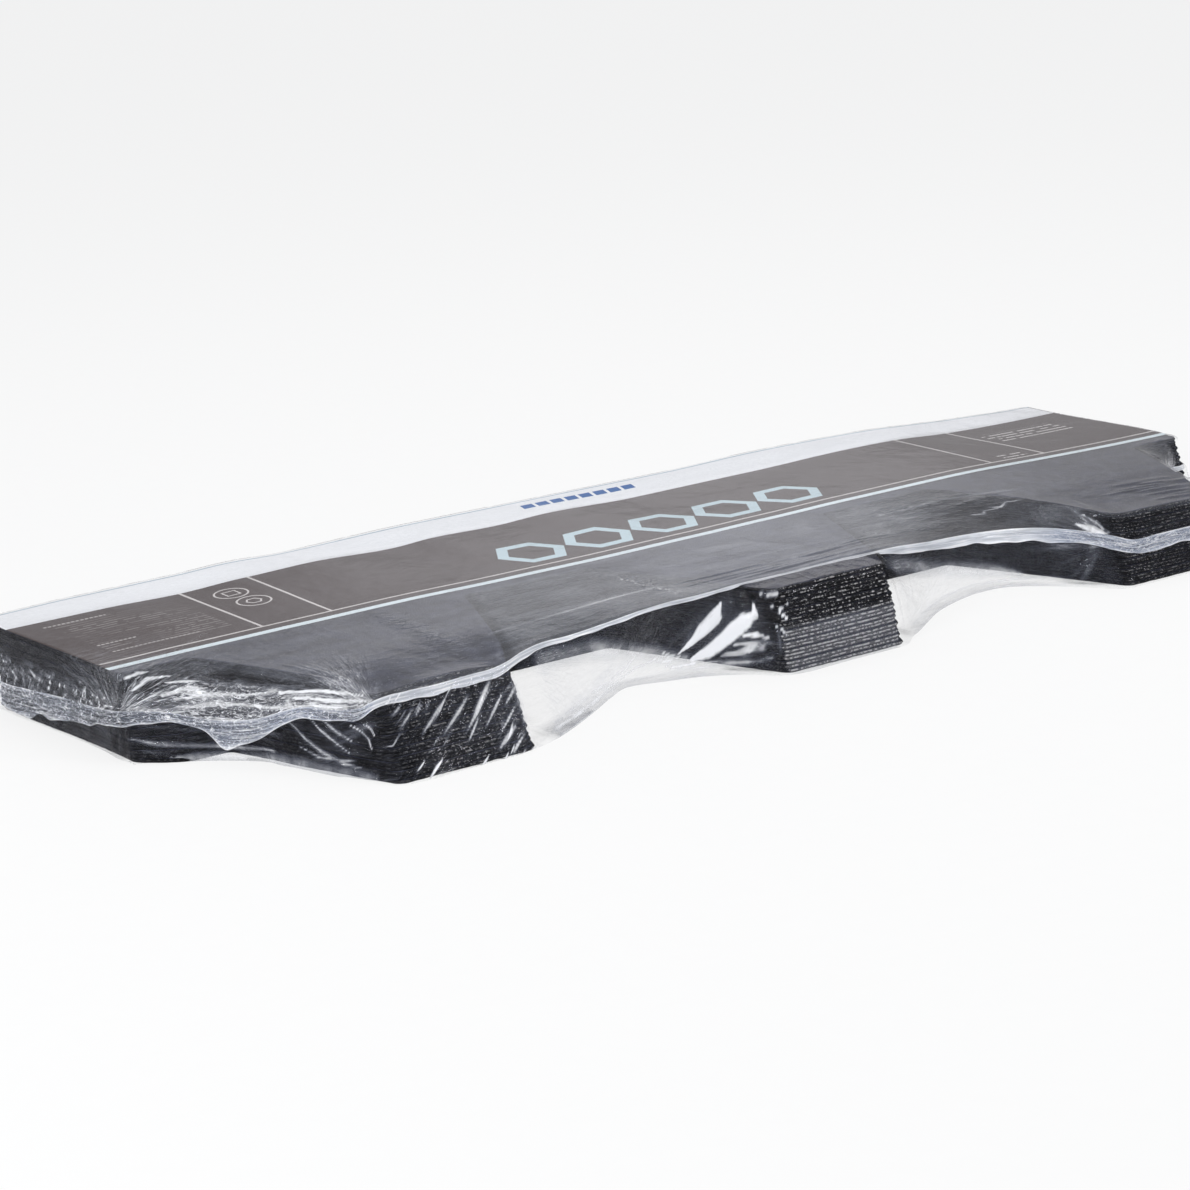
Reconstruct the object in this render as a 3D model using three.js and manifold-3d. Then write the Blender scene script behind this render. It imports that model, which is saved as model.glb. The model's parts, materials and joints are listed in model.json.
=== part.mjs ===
// A bundle of asphalt shingles with hexagonal tabs, shrink-wrapped in clear film over a printed label sheet.
// Units are millimetres and +Z is up. The origin is under the middle of the bundle, on the plane it lies on.
// Inside the bundle, X runs along the shingles from their middle, and Y runs from the tab tips at 0
// to the straight rear edge. Plans are listed anticlockwise, starting at the left end of the tab side.

import * as THREE from "three";
import { mergeVertices } from "three/addons/utils/BufferGeometryUtils.js";
import Module from "manifold-3d";

// ---- Shingle ----
const SHINGLE_LENGTH = 1000;
const SHINGLE_DEPTH = 336; // tab tips to rear edge
const SHINGLE_THICKNESS = 2.7;
const TAB_COUNT = 3;
const TAB_DEPTH = 148; // tab tips to the roots of the cut
const FLANK_RUN = 58; // how far each sloping flank of a tab runs along the length

// ---- Stack ----
const LAYER_COUNT = 22;
const LAYER_GAP = 0.1; // air between rough, granule-covered faces
const SPREAD_X = 7; // how far the bottom shingle lies out of line with the top one
const SPREAD_Y = -14;
const STAGGER = 1.5; // how far each shingle lies off that slope

// ---- Label sheet ----
const LABEL_DEPTH = 175; // measured forward from the rear edge
const LABEL_THICKNESS = 0.2;

// ---- Shrink film ----
const FILM_THICKNESS = 0.3;
const FILM_SLACK = 0.5; // least clear space between the film's walls and the shingles
const SEAM_LEVEL = 0.45; // height of the seam at the bundle's ends, as a share of the film's height
const SEAM_RISE = 0.35; // how much higher the seam runs at mid length, as a share of the film's height
const SEAM_WIDTH = 6; // how far the weld stands out from the film
const SEAM_THICKNESS = 0.8;
const SEAM_BEAD = 1.4; // thickness of the bead at the weld's foot
const SEAM_DRAW = 0.76; // how far the seam is drawn into a cut: 0 is a straight bridge, 1 reaches for the roots
const FLOOR_DRAW = 0.46; // the same for the film's lower edge
const CUT_STEPS = 12; // divisible by 2 and by 3, so that a cut's corners fall on steps

// ---- Vents that let the trapped air out, under each full cut ----
const VENT_DIAMETER = 6;
const VENT_PITCH = 30;
const VENTS_PER_CUT = 3;
const VENT_FACETS = 16;

// ---- Worked out from the above ----
const TAB_PITCH = SHINGLE_LENGTH / TAB_COUNT;
const TIP_WIDTH = TAB_PITCH / 2 - FLANK_RUN; // tips and roots are alike, so that two shingles cut from one strip
const LAYER_PITCH = SHINGLE_THICKNESS + LAYER_GAP;
const STACK_FLOOR = FILM_THICKNESS + LAYER_GAP;
const STACK_TOP = STACK_FLOOR + LAYER_COUNT * LAYER_PITCH - LAYER_GAP;
const LABEL_FLOOR = STACK_TOP + LAYER_GAP;
const FILM_TOP = LABEL_FLOOR + LABEL_THICKNESS + LAYER_GAP + FILM_THICKNESS;
const LAYER_STEP = Math.hypot(SPREAD_X, SPREAD_Y) / LAYER_COUNT;
const WRAP_CLEARANCE = STAGGER + LAYER_STEP + FILM_SLACK;
const GOLDEN_ANGLE = Math.PI * (3 - Math.sqrt(5));

const wasm = await Module();
wasm.setup();

const materials = {
  shingle: () => new THREE.MeshStandardMaterial({ color: 0x25262b, roughness: 0.95 }),
  label: () => new THREE.MeshStandardMaterial({ color: 0x6e6868, roughness: 0.6 }),
  film: () =>
    new THREE.MeshStandardMaterial({ color: 0xdfe6ee, roughness: 0.15, transparent: true, opacity: 0.35 }),
};

function named(name, geometry, material) {
  const mesh = new THREE.Mesh(geometry, material);
  mesh.name = name;
  return mesh;
}

/** The cuts of the tab side from left to right. Each runs from `start` by way of its `roots` to `end`. */
function cutsBetweenTabs() {
  const root = (x) => new THREE.Vector2(x, TAB_DEPTH);
  const tip = (x) => new THREE.Vector2(x, 0);
  const halfLength = SHINGLE_LENGTH / 2;
  const cuts = [];
  for (let cut = 0; cut <= TAB_COUNT; cut++) {
    const middle = cut * TAB_PITCH - halfLength;
    const leftTip = tip(middle - TIP_WIDTH / 2 - FLANK_RUN);
    const rightTip = tip(middle + TIP_WIDTH / 2 + FLANK_RUN);
    const roots = [root(middle - TIP_WIDTH / 2), root(middle + TIP_WIDTH / 2)];
    if (cut === 0) cuts.push({ start: root(-halfLength), roots: [roots[1]], end: rightTip });
    else if (cut === TAB_COUNT) cuts.push({ start: leftTip, roots: [roots[0]], end: root(halfLength) });
    else cuts.push({ start: leftTip, roots, end: rightTip });
  }
  return cuts;
}

/** Both corners of the straight rear edge, in the plan's order. */
function rearCorners() {
  return [1, -1].map((side) => new THREE.Vector2((side * SHINGLE_LENGTH) / 2, SHINGLE_DEPTH));
}

function shinglePlan() {
  const tabSide = cutsBetweenTabs().flatMap(({ start, roots, end }) => [start, ...roots, end]);
  return [...tabSide, ...rearCorners()];
}

/** Moves each corner of an anticlockwise plan outwards, so that every side moves by `distance`. */
function grown(plan, distance) {
  const outward = (from, to) => {
    const along = to.clone().sub(from).normalize();
    return new THREE.Vector2(along.y, -along.x);
  };
  return plan.map((corner, i) => {
    const before = outward(plan.at(i - 1), corner);
    const after = outward(corner, plan[(i + 1) % plan.length]);
    const mitre = before.clone().add(after).multiplyScalar(distance / (1 + before.dot(after)));
    return mitre.add(corner);
  });
}

/** The shingles' plan grown by `distance`, split into its cuts and its rear corners. */
function grownParts(distance) {
  const corners = grown(shinglePlan(), distance);
  const cuts = cutsBetweenTabs().map(({ roots }) => {
    const taken = corners.splice(0, roots.length + 2);
    return { start: taken[0], roots: taken.slice(1, -1), end: taken.at(-1) };
  });
  return { cuts, rear: corners };
}

/** Points along a cut's own straight sides. */
function huggedCut({ start, roots, end }) {
  const corners = [start, ...roots, end];
  const steps = CUT_STEPS / (roots.length + 1);
  const points = corners.slice(0, -1).flatMap((from, side) =>
    Array.from({ length: steps }, (_, i) => from.clone().lerp(corners[side + 1], i / steps)),
  );
  return [...points, end];
}

/** Points along a smooth bridge over a cut, drawn in towards its roots by a share of the way. */
function bridgedCut({ start, roots, end }, draw) {
  const control = (share, root) => start.clone().lerp(end, share).lerp(root, draw);
  const curve = new THREE.CubicBezierCurve(start, control(1 / 3, roots[0]), control(2 / 3, roots.at(-1)), end);
  return curve.getPoints(CUT_STEPS);
}

/** How far the stack leans out of line at a height. It is upright at the top. */
function spreadAt(z) {
  const below = (STACK_TOP - z) / STACK_TOP;
  return new THREE.Vector2(SPREAD_X, SPREAD_Y).multiplyScalar(below);
}

/** One level of the film: a ring of points round the bundle, at a height that can vary along the length. */
function filmRing(distance, heightAt, shapeCut) {
  const { cuts, rear } = grownParts(distance);
  return [...cuts.flatMap(shapeCut), ...rear].map((point) => {
    const z = heightAt(point.x);
    const spread = spreadAt(z);
    return new THREE.Vector3(point.x + spread.x, point.y + spread.y, z);
  });
}

/** Joins rings of equal count, listed from the top down, into one closed body with flat ends. */
function loftedRings(rings) {
  const count = rings[0].length;
  const index = [];
  for (let upper = 0; upper < (rings.length - 1) * count; upper += count) {
    for (let i = 0; i < count; i++) {
      const [a, b] = [upper + i, upper + ((i + 1) % count)];
      index.push(a, a + count, b + count, a, b + count, b);
    }
  }
  const lid = (ring, first, order) =>
    THREE.ShapeUtils.triangulateShape([...ring], []).forEach((triangle) =>
      index.push(...order.map((corner) => first + triangle[corner])),
    );
  lid(rings[0], 0, [0, 1, 2]);
  lid(rings.at(-1), (rings.length - 1) * count, [2, 1, 0]);
  const geometry = new THREE.BufferGeometry().setFromPoints(rings.flat());
  return geometry.setIndex(index);
}

function solidFrom(geometry) {
  geometry.deleteAttribute("normal");
  geometry.deleteAttribute("uv");
  const merged = mergeVertices(geometry);
  return new wasm.Manifold(
    new wasm.Mesh({
      numProp: 3,
      vertProperties: merged.attributes.position.array,
      triVerts: new Uint32Array(merged.index.array),
    }),
  );
}

function geometryFrom(solid) {
  const { vertProperties, triVerts } = solid.getMesh();
  const geometry = new THREE.BufferGeometry();
  geometry.setAttribute("position", new THREE.BufferAttribute(vertProperties, 3));
  geometry.setIndex(new THREE.BufferAttribute(triVerts, 1));
  geometry.computeVertexNormals();
  return geometry;
}

function seamHeightAt(x) {
  return FILM_TOP * (SEAM_LEVEL + SEAM_RISE * Math.cos((Math.PI * x) / SHINGLE_LENGTH));
}

/** The film's outer surface: a flat top, webs down to the standing seam, and webs on down to the floor. */
function filmOutside() {
  const wall = WRAP_CLEARANCE + FILM_THICKNESS;
  const bead = WRAP_CLEARANCE + SEAM_BEAD;
  const atSeam = (cut) => bridgedCut(cut, SEAM_DRAW);
  const seamTop = (x) => seamHeightAt(x) + SEAM_THICKNESS / 2;
  const seamUnderside = (x) => seamHeightAt(x) - SEAM_THICKNESS / 2;
  return loftedRings([
    filmRing(wall, () => FILM_TOP, huggedCut),
    filmRing(bead, seamTop, atSeam),
    filmRing(bead + SEAM_WIDTH, seamTop, atSeam),
    filmRing(bead + SEAM_WIDTH, seamUnderside, atSeam),
    filmRing(bead, seamUnderside, atSeam),
    filmRing(wall, () => 0, (cut) => bridgedCut(cut, FLOOR_DRAW)),
  ]);
}

/** The space inside the film. */
function filmInside() {
  return loftedRings([
    filmRing(WRAP_CLEARANCE, () => FILM_TOP - FILM_THICKNESS, huggedCut),
    filmRing(WRAP_CLEARANCE, seamHeightAt, (cut) => bridgedCut(cut, SEAM_DRAW)),
    filmRing(WRAP_CLEARANCE, () => FILM_THICKNESS, (cut) => bridgedCut(cut, FLOOR_DRAW)),
  ]);
}

/** Where the vents go through the film's underside: in the open corner of each full cut, near its roots. */
function ventCentres() {
  const floorSpread = spreadAt(0);
  return cutsBetweenTabs()
    .filter(({ roots }) => roots.length === 2)
    .flatMap(({ roots }) => {
      const middle = roots[0].clone().add(roots[1]).multiplyScalar(0.5).add(floorSpread);
      return Array.from({ length: VENTS_PER_CUT }, (_, i) => {
        const across = (i - (VENTS_PER_CUT - 1) / 2) * VENT_PITCH;
        return new THREE.Vector2(middle.x + across, middle.y - VENT_PITCH);
      });
    });
}

function shrinkFilm() {
  let shell = solidFrom(filmOutside()).subtract(solidFrom(filmInside()));
  for (const centre of ventCentres()) {
    const vent = new THREE.CylinderGeometry(
      VENT_DIAMETER / 2,
      VENT_DIAMETER / 2,
      4 * FILM_THICKNESS,
      VENT_FACETS,
    );
    vent.rotateX(Math.PI / 2).translate(centre.x, centre.y, 0);
    shell = shell.subtract(solidFrom(vent));
  }
  return named("shrink_film", geometryFrom(shell), materials.film());
}

/** Where a layer lies in plan: on the stack's lean, and off it by its own stagger. */
function layerOffset(layer) {
  const stagger = new THREE.Vector2(STAGGER, 0).rotateAround(new THREE.Vector2(), layer * GOLDEN_ANGLE);
  return spreadAt(STACK_FLOOR + layer * LAYER_PITCH + SHINGLE_THICKNESS / 2).add(stagger);
}

function shingle(layer) {
  const plan = new THREE.Shape(shinglePlan());
  const geometry = new THREE.ExtrudeGeometry(plan, { depth: SHINGLE_THICKNESS, bevelEnabled: false });
  const mesh = named(`shingle_${String(layer + 1).padStart(2, "0")}`, geometry, materials.shingle());
  const offset = layerOffset(layer);
  mesh.position.set(offset.x, offset.y, STACK_FLOOR + layer * LAYER_PITCH);
  return mesh;
}

function labelSheet() {
  const geometry = new THREE.BoxGeometry(SHINGLE_LENGTH, LABEL_DEPTH, LABEL_THICKNESS);
  const mesh = named("label_sheet", geometry, materials.label());
  const under = layerOffset(LAYER_COUNT - 1);
  mesh.position.set(under.x, under.y + SHINGLE_DEPTH - LABEL_DEPTH / 2, LABEL_FLOOR + LABEL_THICKNESS / 2);
  return mesh;
}

/** The whole bundle, moved so that the origin lies under the middle of its bounding box. */
function shingleBundle() {
  const bundle = new THREE.Group();
  for (let layer = 0; layer < LAYER_COUNT; layer++) bundle.add(shingle(layer));
  bundle.add(labelSheet());
  bundle.add(shrinkFilm());
  const middle = new THREE.Box3().setFromObject(bundle).getCenter(new THREE.Vector3());
  bundle.position.set(-middle.x, -middle.y, 0);
  return bundle;
}

export default shingleBundle();
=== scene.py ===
"""Looks of a shrink-wrapped bundle of asphalt shingles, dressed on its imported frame.

Sizes in the dataclasses are millimetres in the bundle's own frame: X from the left end along the
shingles, Y from the tab tips to the rear edge, Z up from the floor. Meshes are made in metres in
the row frame.
"""

import json
import logging
import math
from dataclasses import dataclass, field
from enum import Enum

import bmesh
import bpy
import numpy as np
from mathutils import Matrix, Vector

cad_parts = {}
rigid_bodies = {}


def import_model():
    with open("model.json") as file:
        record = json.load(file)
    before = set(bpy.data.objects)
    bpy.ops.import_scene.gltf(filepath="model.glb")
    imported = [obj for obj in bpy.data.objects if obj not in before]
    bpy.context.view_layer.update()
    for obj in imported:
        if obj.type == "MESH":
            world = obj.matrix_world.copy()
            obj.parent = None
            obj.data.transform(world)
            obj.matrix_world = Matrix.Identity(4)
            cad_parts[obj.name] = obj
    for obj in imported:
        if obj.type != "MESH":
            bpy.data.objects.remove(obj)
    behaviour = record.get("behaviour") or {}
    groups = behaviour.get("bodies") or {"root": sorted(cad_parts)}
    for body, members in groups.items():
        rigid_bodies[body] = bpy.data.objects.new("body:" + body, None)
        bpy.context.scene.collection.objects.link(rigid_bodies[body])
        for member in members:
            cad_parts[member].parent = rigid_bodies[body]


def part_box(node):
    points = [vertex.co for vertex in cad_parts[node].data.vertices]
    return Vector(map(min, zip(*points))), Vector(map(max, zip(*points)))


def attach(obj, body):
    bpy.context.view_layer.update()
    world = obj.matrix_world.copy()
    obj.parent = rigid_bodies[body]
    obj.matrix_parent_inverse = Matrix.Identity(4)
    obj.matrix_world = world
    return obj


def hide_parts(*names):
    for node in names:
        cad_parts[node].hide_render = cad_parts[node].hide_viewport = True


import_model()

LOG = logging.getLogger("shingle_bundle")
MM = 0.001
RIGHT_TAB = 768, 776
RIGHT_END = 980, 988
TAB_FRONT = 30, 10
BUNDLE_ORIGIN = np.array((503.894, 161.08, 0.0))
STACK_TOP = 61.9
FILM_TOP = 62.5
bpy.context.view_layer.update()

Points = np.ndarray
Pair = tuple[float, float]
Triple = tuple[float, float, float]
Colour = Triple
Material = bpy.types.Material
Piece = bpy.types.Object
Socket = bpy.types.NodeSocket
Tree = bpy.types.ShaderNodeTree


def to_row(points: Points) -> Points:
    """Turns bundle millimetres into row-frame metres."""
    return (np.asarray(points, float) - BUNDLE_ORIGIN) * MM


def to_bundle(points: Points) -> Points:
    """Turns row-frame metres into bundle millimetres."""
    return np.asarray(points, float) / MM + BUNDLE_ORIGIN


def smooth(value: Points, low: float, high: float) -> Points:
    """Rises smoothly from 0 at `low` to 1 at `high`."""
    t = np.clip((np.asarray(value, float) - low) / (high - low), 0.0, 1.0)
    return t * t * (3.0 - 2.0 * t)


def bell(distance: Points, width: float) -> Points:
    """A bump of height 1 that fades over `width`."""
    return np.exp(-((np.asarray(distance, float) / width) ** 2))


class ValueNoise:
    """Smooth seeded noise on a lattice that repeats."""

    def __init__(self, seed: int, size: int = 32) -> None:
        """Fills the lattice from `seed`."""
        self.size = size
        self.table = np.random.default_rng(seed).random((size, size, size)) * 2.0 - 1.0

    def at(self, points: Points, scale: float | Triple) -> Points:
        """Samples the noise.

        Args:
            points: positions, the last axis X, Y and Z.
            scale: size of one lattice cell, for all axes or for each.

        Returns:
            Values from -1 to 1, one for each position.
        """
        p = np.asarray(points, float) / np.asarray(scale, float)
        base = np.floor(p).astype(int)
        t = p - base
        t = t * t * (3.0 - 2.0 * t)
        out = np.zeros(p.shape[:-1])
        for corner in range(8):
            bits = np.array((corner & 1, corner >> 1 & 1, corner >> 2 & 1))
            cell = (base + bits) % self.size
            weight = np.prod(np.where(bits == 1, t, 1.0 - t), axis=-1)
            out += weight * self.table[cell[..., 0], cell[..., 1], cell[..., 2]]
        return out

    def ridged(self, points: Points, scale: float | Triple) -> Points:
        """Noise folded into sharp crests, from 0 to 1."""
        return (1.0 - np.abs(self.at(points, scale)) * 2.0).clip(0.0, 1.0) ** 2


class Corner(Enum):
    """Kinds of corner on a shingle's outline."""

    END = "end"
    ROOT = "root"
    TIP = "tip"


@dataclass(frozen=True)
class ShinglePlan:
    """Outline of one shingle."""

    length: float = 1000.0
    depth: float = 336.0
    tab_count: int = 3
    tab_depth: float = 148.0
    flank_run: float = 58.0

    @property
    def pitch(self) -> float:
        """Distance from tab to tab."""
        return self.length / self.tab_count

    @property
    def tip_width(self) -> float:
        """Width of a tab's tip, and of the root between two tabs."""
        return self.pitch / 2 - self.flank_run

    def tip_spans(self) -> list[Pair]:
        """Left and right end of each tab tip."""
        half = self.tip_width / 2
        return [((k + 0.5) * self.pitch - half, (k + 0.5) * self.pitch + half) for k in range(self.tab_count)]

    def corners(self) -> list[tuple[float, float, Corner]]:
        """The outline's corners anticlockwise from the left end of the tab side.

        Returns:
            The place and kind of each.
        """
        found = [(0.0, self.tab_depth, Corner.END)]
        for left, right in self.tip_spans():
            found.append((left - self.flank_run, self.tab_depth, Corner.ROOT))
            found.append((left, 0.0, Corner.TIP))
            found.append((right, 0.0, Corner.TIP))
            found.append((right + self.flank_run, self.tab_depth, Corner.ROOT))
        found.append((self.length, self.tab_depth, Corner.END))
        found.append((self.length, self.depth, Corner.END))
        found.append((0.0, self.depth, Corner.END))
        return found

    def tip_corners(self) -> Points:
        """Places of the tab tips' corners."""
        return np.array([(x, y) for x, y, kind in self.corners() if kind is Corner.TIP])

    def place_of(self, node: str) -> Points:
        """How far a shingle's node lies from the bundle's own corner, in X and Y."""
        middle = to_bundle(np.array([tuple(corner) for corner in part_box(node)]))[:, :2].mean(0)
        return middle - np.array((self.length, self.depth)) / 2


@dataclass(frozen=True)
class Splay:
    """A place where the lowest layers have spread.

    Args:
        span: its range in X.
        fades: lengths of the fades before and after that.
        full: Y up to which the shift is full.
        none: Y from which there is no shift.
        shift: how far the layers have moved in X and Y.
    """

    span: Pair
    fades: Pair
    full: float
    none: float
    shift: Pair


@dataclass
class StackForm:
    """The stack as a body that the film is drawn over: the outline, leaning and rounded.

    Args:
        plan: outline of a shingle.
    """

    plan: ShinglePlan
    bottom: float = 0.3
    top: float = STACK_TOP
    edge_radius: float = 1.4
    ragged: float = 1.6
    cell: float = 2.0
    margin: float = 48.0
    low_blur: float = 1.5
    high_blur: float = 4.5
    splay: tuple[Splay, ...] = tuple(Splay(*row) for row in (
        ((118, 232), (58, 58), 10, 100, (-1.5, -15)), ((70, 140), (30, 60), 40, 125, (-7, 0)),
        ((450, 560), (58, 58), 10, 100, (-2, 3)), ((-60, 18), (20, 34), 400, 420, (-6.5, 0)),
        ((40, 80), (34, 30), 150, 190, (0, -22)), ((205, 240), (40, 50), 10, 110, (-8, 1)),
    ))
    foot: Points = field(default_factory=lambda: np.zeros(2))

    def __post_init__(self) -> None:
        """Measures the lean and lays out the distance rasters."""
        self.foot, self.head = self.plan.place_of("shingle_01"), self.plan.place_of("shingle_22")
        sharp = self._distances()
        self.rasters = [self._with_slopes(self._blurred(sharp, b)) for b in (self.low_blur, self.high_blur)]

    def _distances(self) -> Points:
        """Signed distance to the sharp outline on a grid, negative inside.

        Returns:
            The distances on the grid.
        """
        corners = np.array([(x, y) for x, y, _ in self.plan.corners()])
        xs = np.arange(-self.margin, self.plan.length + self.margin, self.cell)
        ys = np.arange(-self.margin, self.plan.depth + self.margin, self.cell)
        gx, gy = np.meshgrid(xs, ys, indexing="ij")
        nearest = np.full(gx.shape, 1e9)
        inside = np.zeros(gx.shape, bool)
        for (ax, ay), (bx, by) in zip(corners, np.roll(corners, -1, axis=0)):
            along = np.clip(((gx - ax) * (bx - ax) + (gy - ay) * (by - ay)) / ((bx - ax) ** 2 + (by - ay) ** 2), 0, 1)
            nearest = np.minimum(nearest, np.hypot(gx - ax - along * (bx - ax), gy - ay - along * (by - ay)))
            crosses = (ay > gy) != (by > gy)
            with np.errstate(divide="ignore", invalid="ignore"):
                inside ^= crosses & (gx < ax + (gy - ay) * (bx - ax) / (by - ay))
        return np.where(inside, -nearest, nearest)

    def _blurred(self, raster: Points, width: float) -> Points:
        """Softens a distance raster, which rounds the outline's corners.

        Args:
            raster: distances on the grid.
            width: spread of the blur.

        Returns:
            The softened distances.
        """
        reach = int(3 * width / self.cell) + 1
        taps = np.exp(-((np.arange(-reach, reach + 1) * self.cell / width) ** 2) / 2)
        taps /= taps.sum()
        for axis in (0, 1):
            pad = [(reach, reach) if a == axis else (0, 0) for a in (0, 1)]
            padded = np.pad(raster, pad, mode="reflect", reflect_type="odd")
            raster = sum(
                tap * np.take(padded, range(k, k + raster.shape[axis]), axis=axis) for k, tap in enumerate(taps)
            )
        return raster

    def _with_slopes(self, raster: Points) -> Points:
        """Stacks a raster with its slopes."""
        dx, dy = np.gradient(raster, self.cell)
        return np.stack((raster, dx, dy), -1)

    def lean_at(self, z: Points) -> Points:
        """How far the outline has moved in X and Y at a height."""
        share = np.clip(np.asarray(z, float) / self.top, 0, 1)[..., None]
        return self.foot * (1 - share) + self.head * share

    def splay_at(self, points: Points) -> Points:
        """How far the lowest layers have spread.

        Args:
            points: bundle positions.

        Returns:
            The shift in X and Y at each position.
        """
        x, y, z = points[..., 0], points[..., 1], points[..., 2]
        low = smooth(z, 38, 2)
        shift = np.zeros((*x.shape, 2))
        for splay in self.splay:
            (left, right), (before, after) = splay.span, splay.fades
            share = low * smooth(
                y, splay.none, splay.full,
            ) * smooth(x, left - before, left) * smooth(x, right + after, right)
            shift += share[..., None] * np.array(splay.shift)
        return shift

    def outline_at(self, points: Points) -> tuple[Points, Points]:
        """Reads the rasters at 3-D points.

        Args:
            points: bundle positions.

        Returns:
            Signed distance in plan, and its direction outwards.
        """
        lean = self.lean_at(points[..., 2]) + self.splay_at(points)
        u = ((points[..., 0] - lean[..., 0]) + self.margin) / self.cell
        v = ((points[..., 1] - lean[..., 1]) + self.margin) / self.cell
        shape = self.rasters[0].shape
        i = np.clip(u.astype(int), 0, shape[0] - 2)
        j = np.clip(v.astype(int), 0, shape[1] - 2)
        fu = np.clip(u - i, 0, 1)[..., None]
        fv = np.clip(v - j, 0, 1)[..., None]
        share = smooth(points[..., 2], 8, 50)[..., None]
        total = 0.0
        for raster, weight in zip(self.rasters, (1 - share, share)):
            low = raster[i, j] * (1 - fu) + raster[i + 1, j] * fu
            high = raster[i, j + 1] * (1 - fu) + raster[i + 1, j + 1] * fu
            total = total + weight * (low * (1 - fv) + high * fv)
        slope = total[..., 1:]
        slope = slope / np.maximum(np.linalg.norm(slope, axis=-1, keepdims=True), 1e-6)
        return total[..., 0], slope

    def push_out(self, points: Points, clearance: float) -> Points:
        """Moves points that are inside the stack, or too near it, out to `clearance`.

        Args:
            points: bundle positions.
            clearance: least distance from the stack.

        Returns:
            The moved positions.
        """
        flat, direction = self.outline_at(points)
        middle, half = (self.top + self.bottom) / 2, (self.top - self.bottom) / 2
        side = flat - self.ragged + self.edge_radius
        height = points[..., 2] - middle
        over = np.abs(height) - half + self.edge_radius
        corner = np.hypot(np.maximum(side, 0), np.maximum(over, 0))
        distance = corner + np.minimum(np.maximum(side, over), 0) - self.edge_radius
        both = (side > 0) & (over > 0)
        safe = np.maximum(corner, 1e-6)
        across = np.where(both, side / safe, np.where(side > over, 1.0, 0.0))
        upward = np.where(both, over / safe, np.where(side > over, 0.0, 1.0)) * np.sign(height)
        push = np.maximum(clearance - distance, 0.0)
        moved = points.copy()
        moved[..., 0] += push * across * direction[..., 0]
        moved[..., 1] += push * across * direction[..., 1]
        moved[..., 2] += push * upward
        return moved


@dataclass(frozen=True)
class Settling:
    """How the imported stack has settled: drooping tab tips, a low right end and a wavy top sheet."""

    plan: ShinglePlan
    tip_drop: float = 4.2
    far_tip_drop: float = 0.4
    corner_drop: float = 3.4
    far_corner_drop: float = 0.5
    right_tip_drop: float = 6.0
    right_drop: float = 4.5
    rear_drop: float = 3.0
    skew: float = 12.0
    wave_at_front: tuple[Pair, ...] = (
        (0, -1.2), (70, -0.4), (150, 0.0), (236, 0.3), (332, -0.8), (410, -1.2), (504, -0.6),
        (572, 0.0), (653, 0.9), (760, 1.2), (866, 0.4), (1000, 0.6),
    )
    wave_at_border: tuple[Pair, ...] = (
        (0, 0.4), (75, 0.6), (128, -0.5), (185, 1.2), (241, 2.2), (315, -0.6), (353, 0.9), (410, -0.4),
        (458, 1.0), (541, -1.4), (662, -1.0), (760, 0.4), (815, 0.6), (878, -0.8), (1000, 0.6),
    )
    wave_at_rear: tuple[Pair, ...] = (
        (0, 2.6), (70, 4.2), (140, 4.6), (188, 5.8), (236, 4.2), (343, 6.0), (500, 5.2), (600, 4.6),
        (689, 6.0), (800, 4.6), (918, 2.6), (1000, 1.5),
    )

    def drop_at(self, x: Points, y: Points) -> Points:
        """How far the top of the stack has dropped.

        Args:
            x: places along the bundle.
            y: places across it.

        Returns:
            The drop at each.
        """
        far = smooth(x, 260, 400)
        tip = self.tip_drop + (self.far_tip_drop - self.tip_drop) * far
        corner = self.corner_drop + (self.far_corner_drop - self.corner_drop) * far
        drop = tip * bell(np.maximum(y, 0), 42) * smooth(y, 120, 60)
        drop = drop + self.right_tip_drop * smooth(x, 740, 800) * bell(np.maximum(y, 0), 60)
        for cx, cy in self.plan.tip_corners():
            drop = drop + corner * bell(np.hypot(x - cx, y - cy), 26)
        right = smooth(x, 760, 1000)
        return drop + self.right_drop * right + self.rear_drop * right * smooth(y, 180, 336)

    def wave_at(self, x: Points, y: Points) -> Points:
        """How far the label sheet and the film over it rise and fall.

        Args:
            x: places along the bundle.
            y: places across it.

        Returns:
            The height at each.
        """
        rows = []
        for knots in (self.wave_at_front, self.wave_at_border, self.wave_at_rear):
            places, heights = np.array(knots).T
            cell = np.clip(np.searchsorted(places, x) - 1, 0, len(places) - 2)
            t = smooth((x - places[cell]) / (places[cell + 1] - places[cell]), 0, 1)
            rows.append(heights[cell] * (1 - t) + heights[cell + 1] * t)
        front, border, rear = rows
        across = smooth(y, 175, 302)
        behind = smooth(y, 302, 340)
        return (front * (1 - across) + border * across) * (1 - behind) + rear * behind

    def level_of(self, points: Points) -> Points:
        """Where places at the front of the settled stack were in the level one."""
        moved = points.copy()
        moved[..., 2] = points[..., 2] / (1 - self.drop_at(points[..., 0], points[..., 1]) / STACK_TOP)
        return moved

    def settled(self, points: Points, lift: float = 1.0) -> Points:
        """Moves points with the settled stack.

        Args:
            points: bundle positions in the level stack.
            lift: how much of the upward waves the points take.

        Returns:
            The settled positions.
        """
        x, y, z = points[..., 0], points[..., 1], points[..., 2]
        wave = self.wave_at(x, y)
        wave = (np.minimum(wave, 0) + lift * np.maximum(wave, 0)) * smooth(y, 60, 165) * smooth(z, 40, 61)
        moved = points.copy()
        moved[..., 0] -= self.skew * smooth(y, 150, 336) * smooth(x, 150, 0)
        moved[..., 2] = z * (1 - self.drop_at(x, y) / STACK_TOP) + wave
        return moved


# ---- Meshes and materials ----


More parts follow.
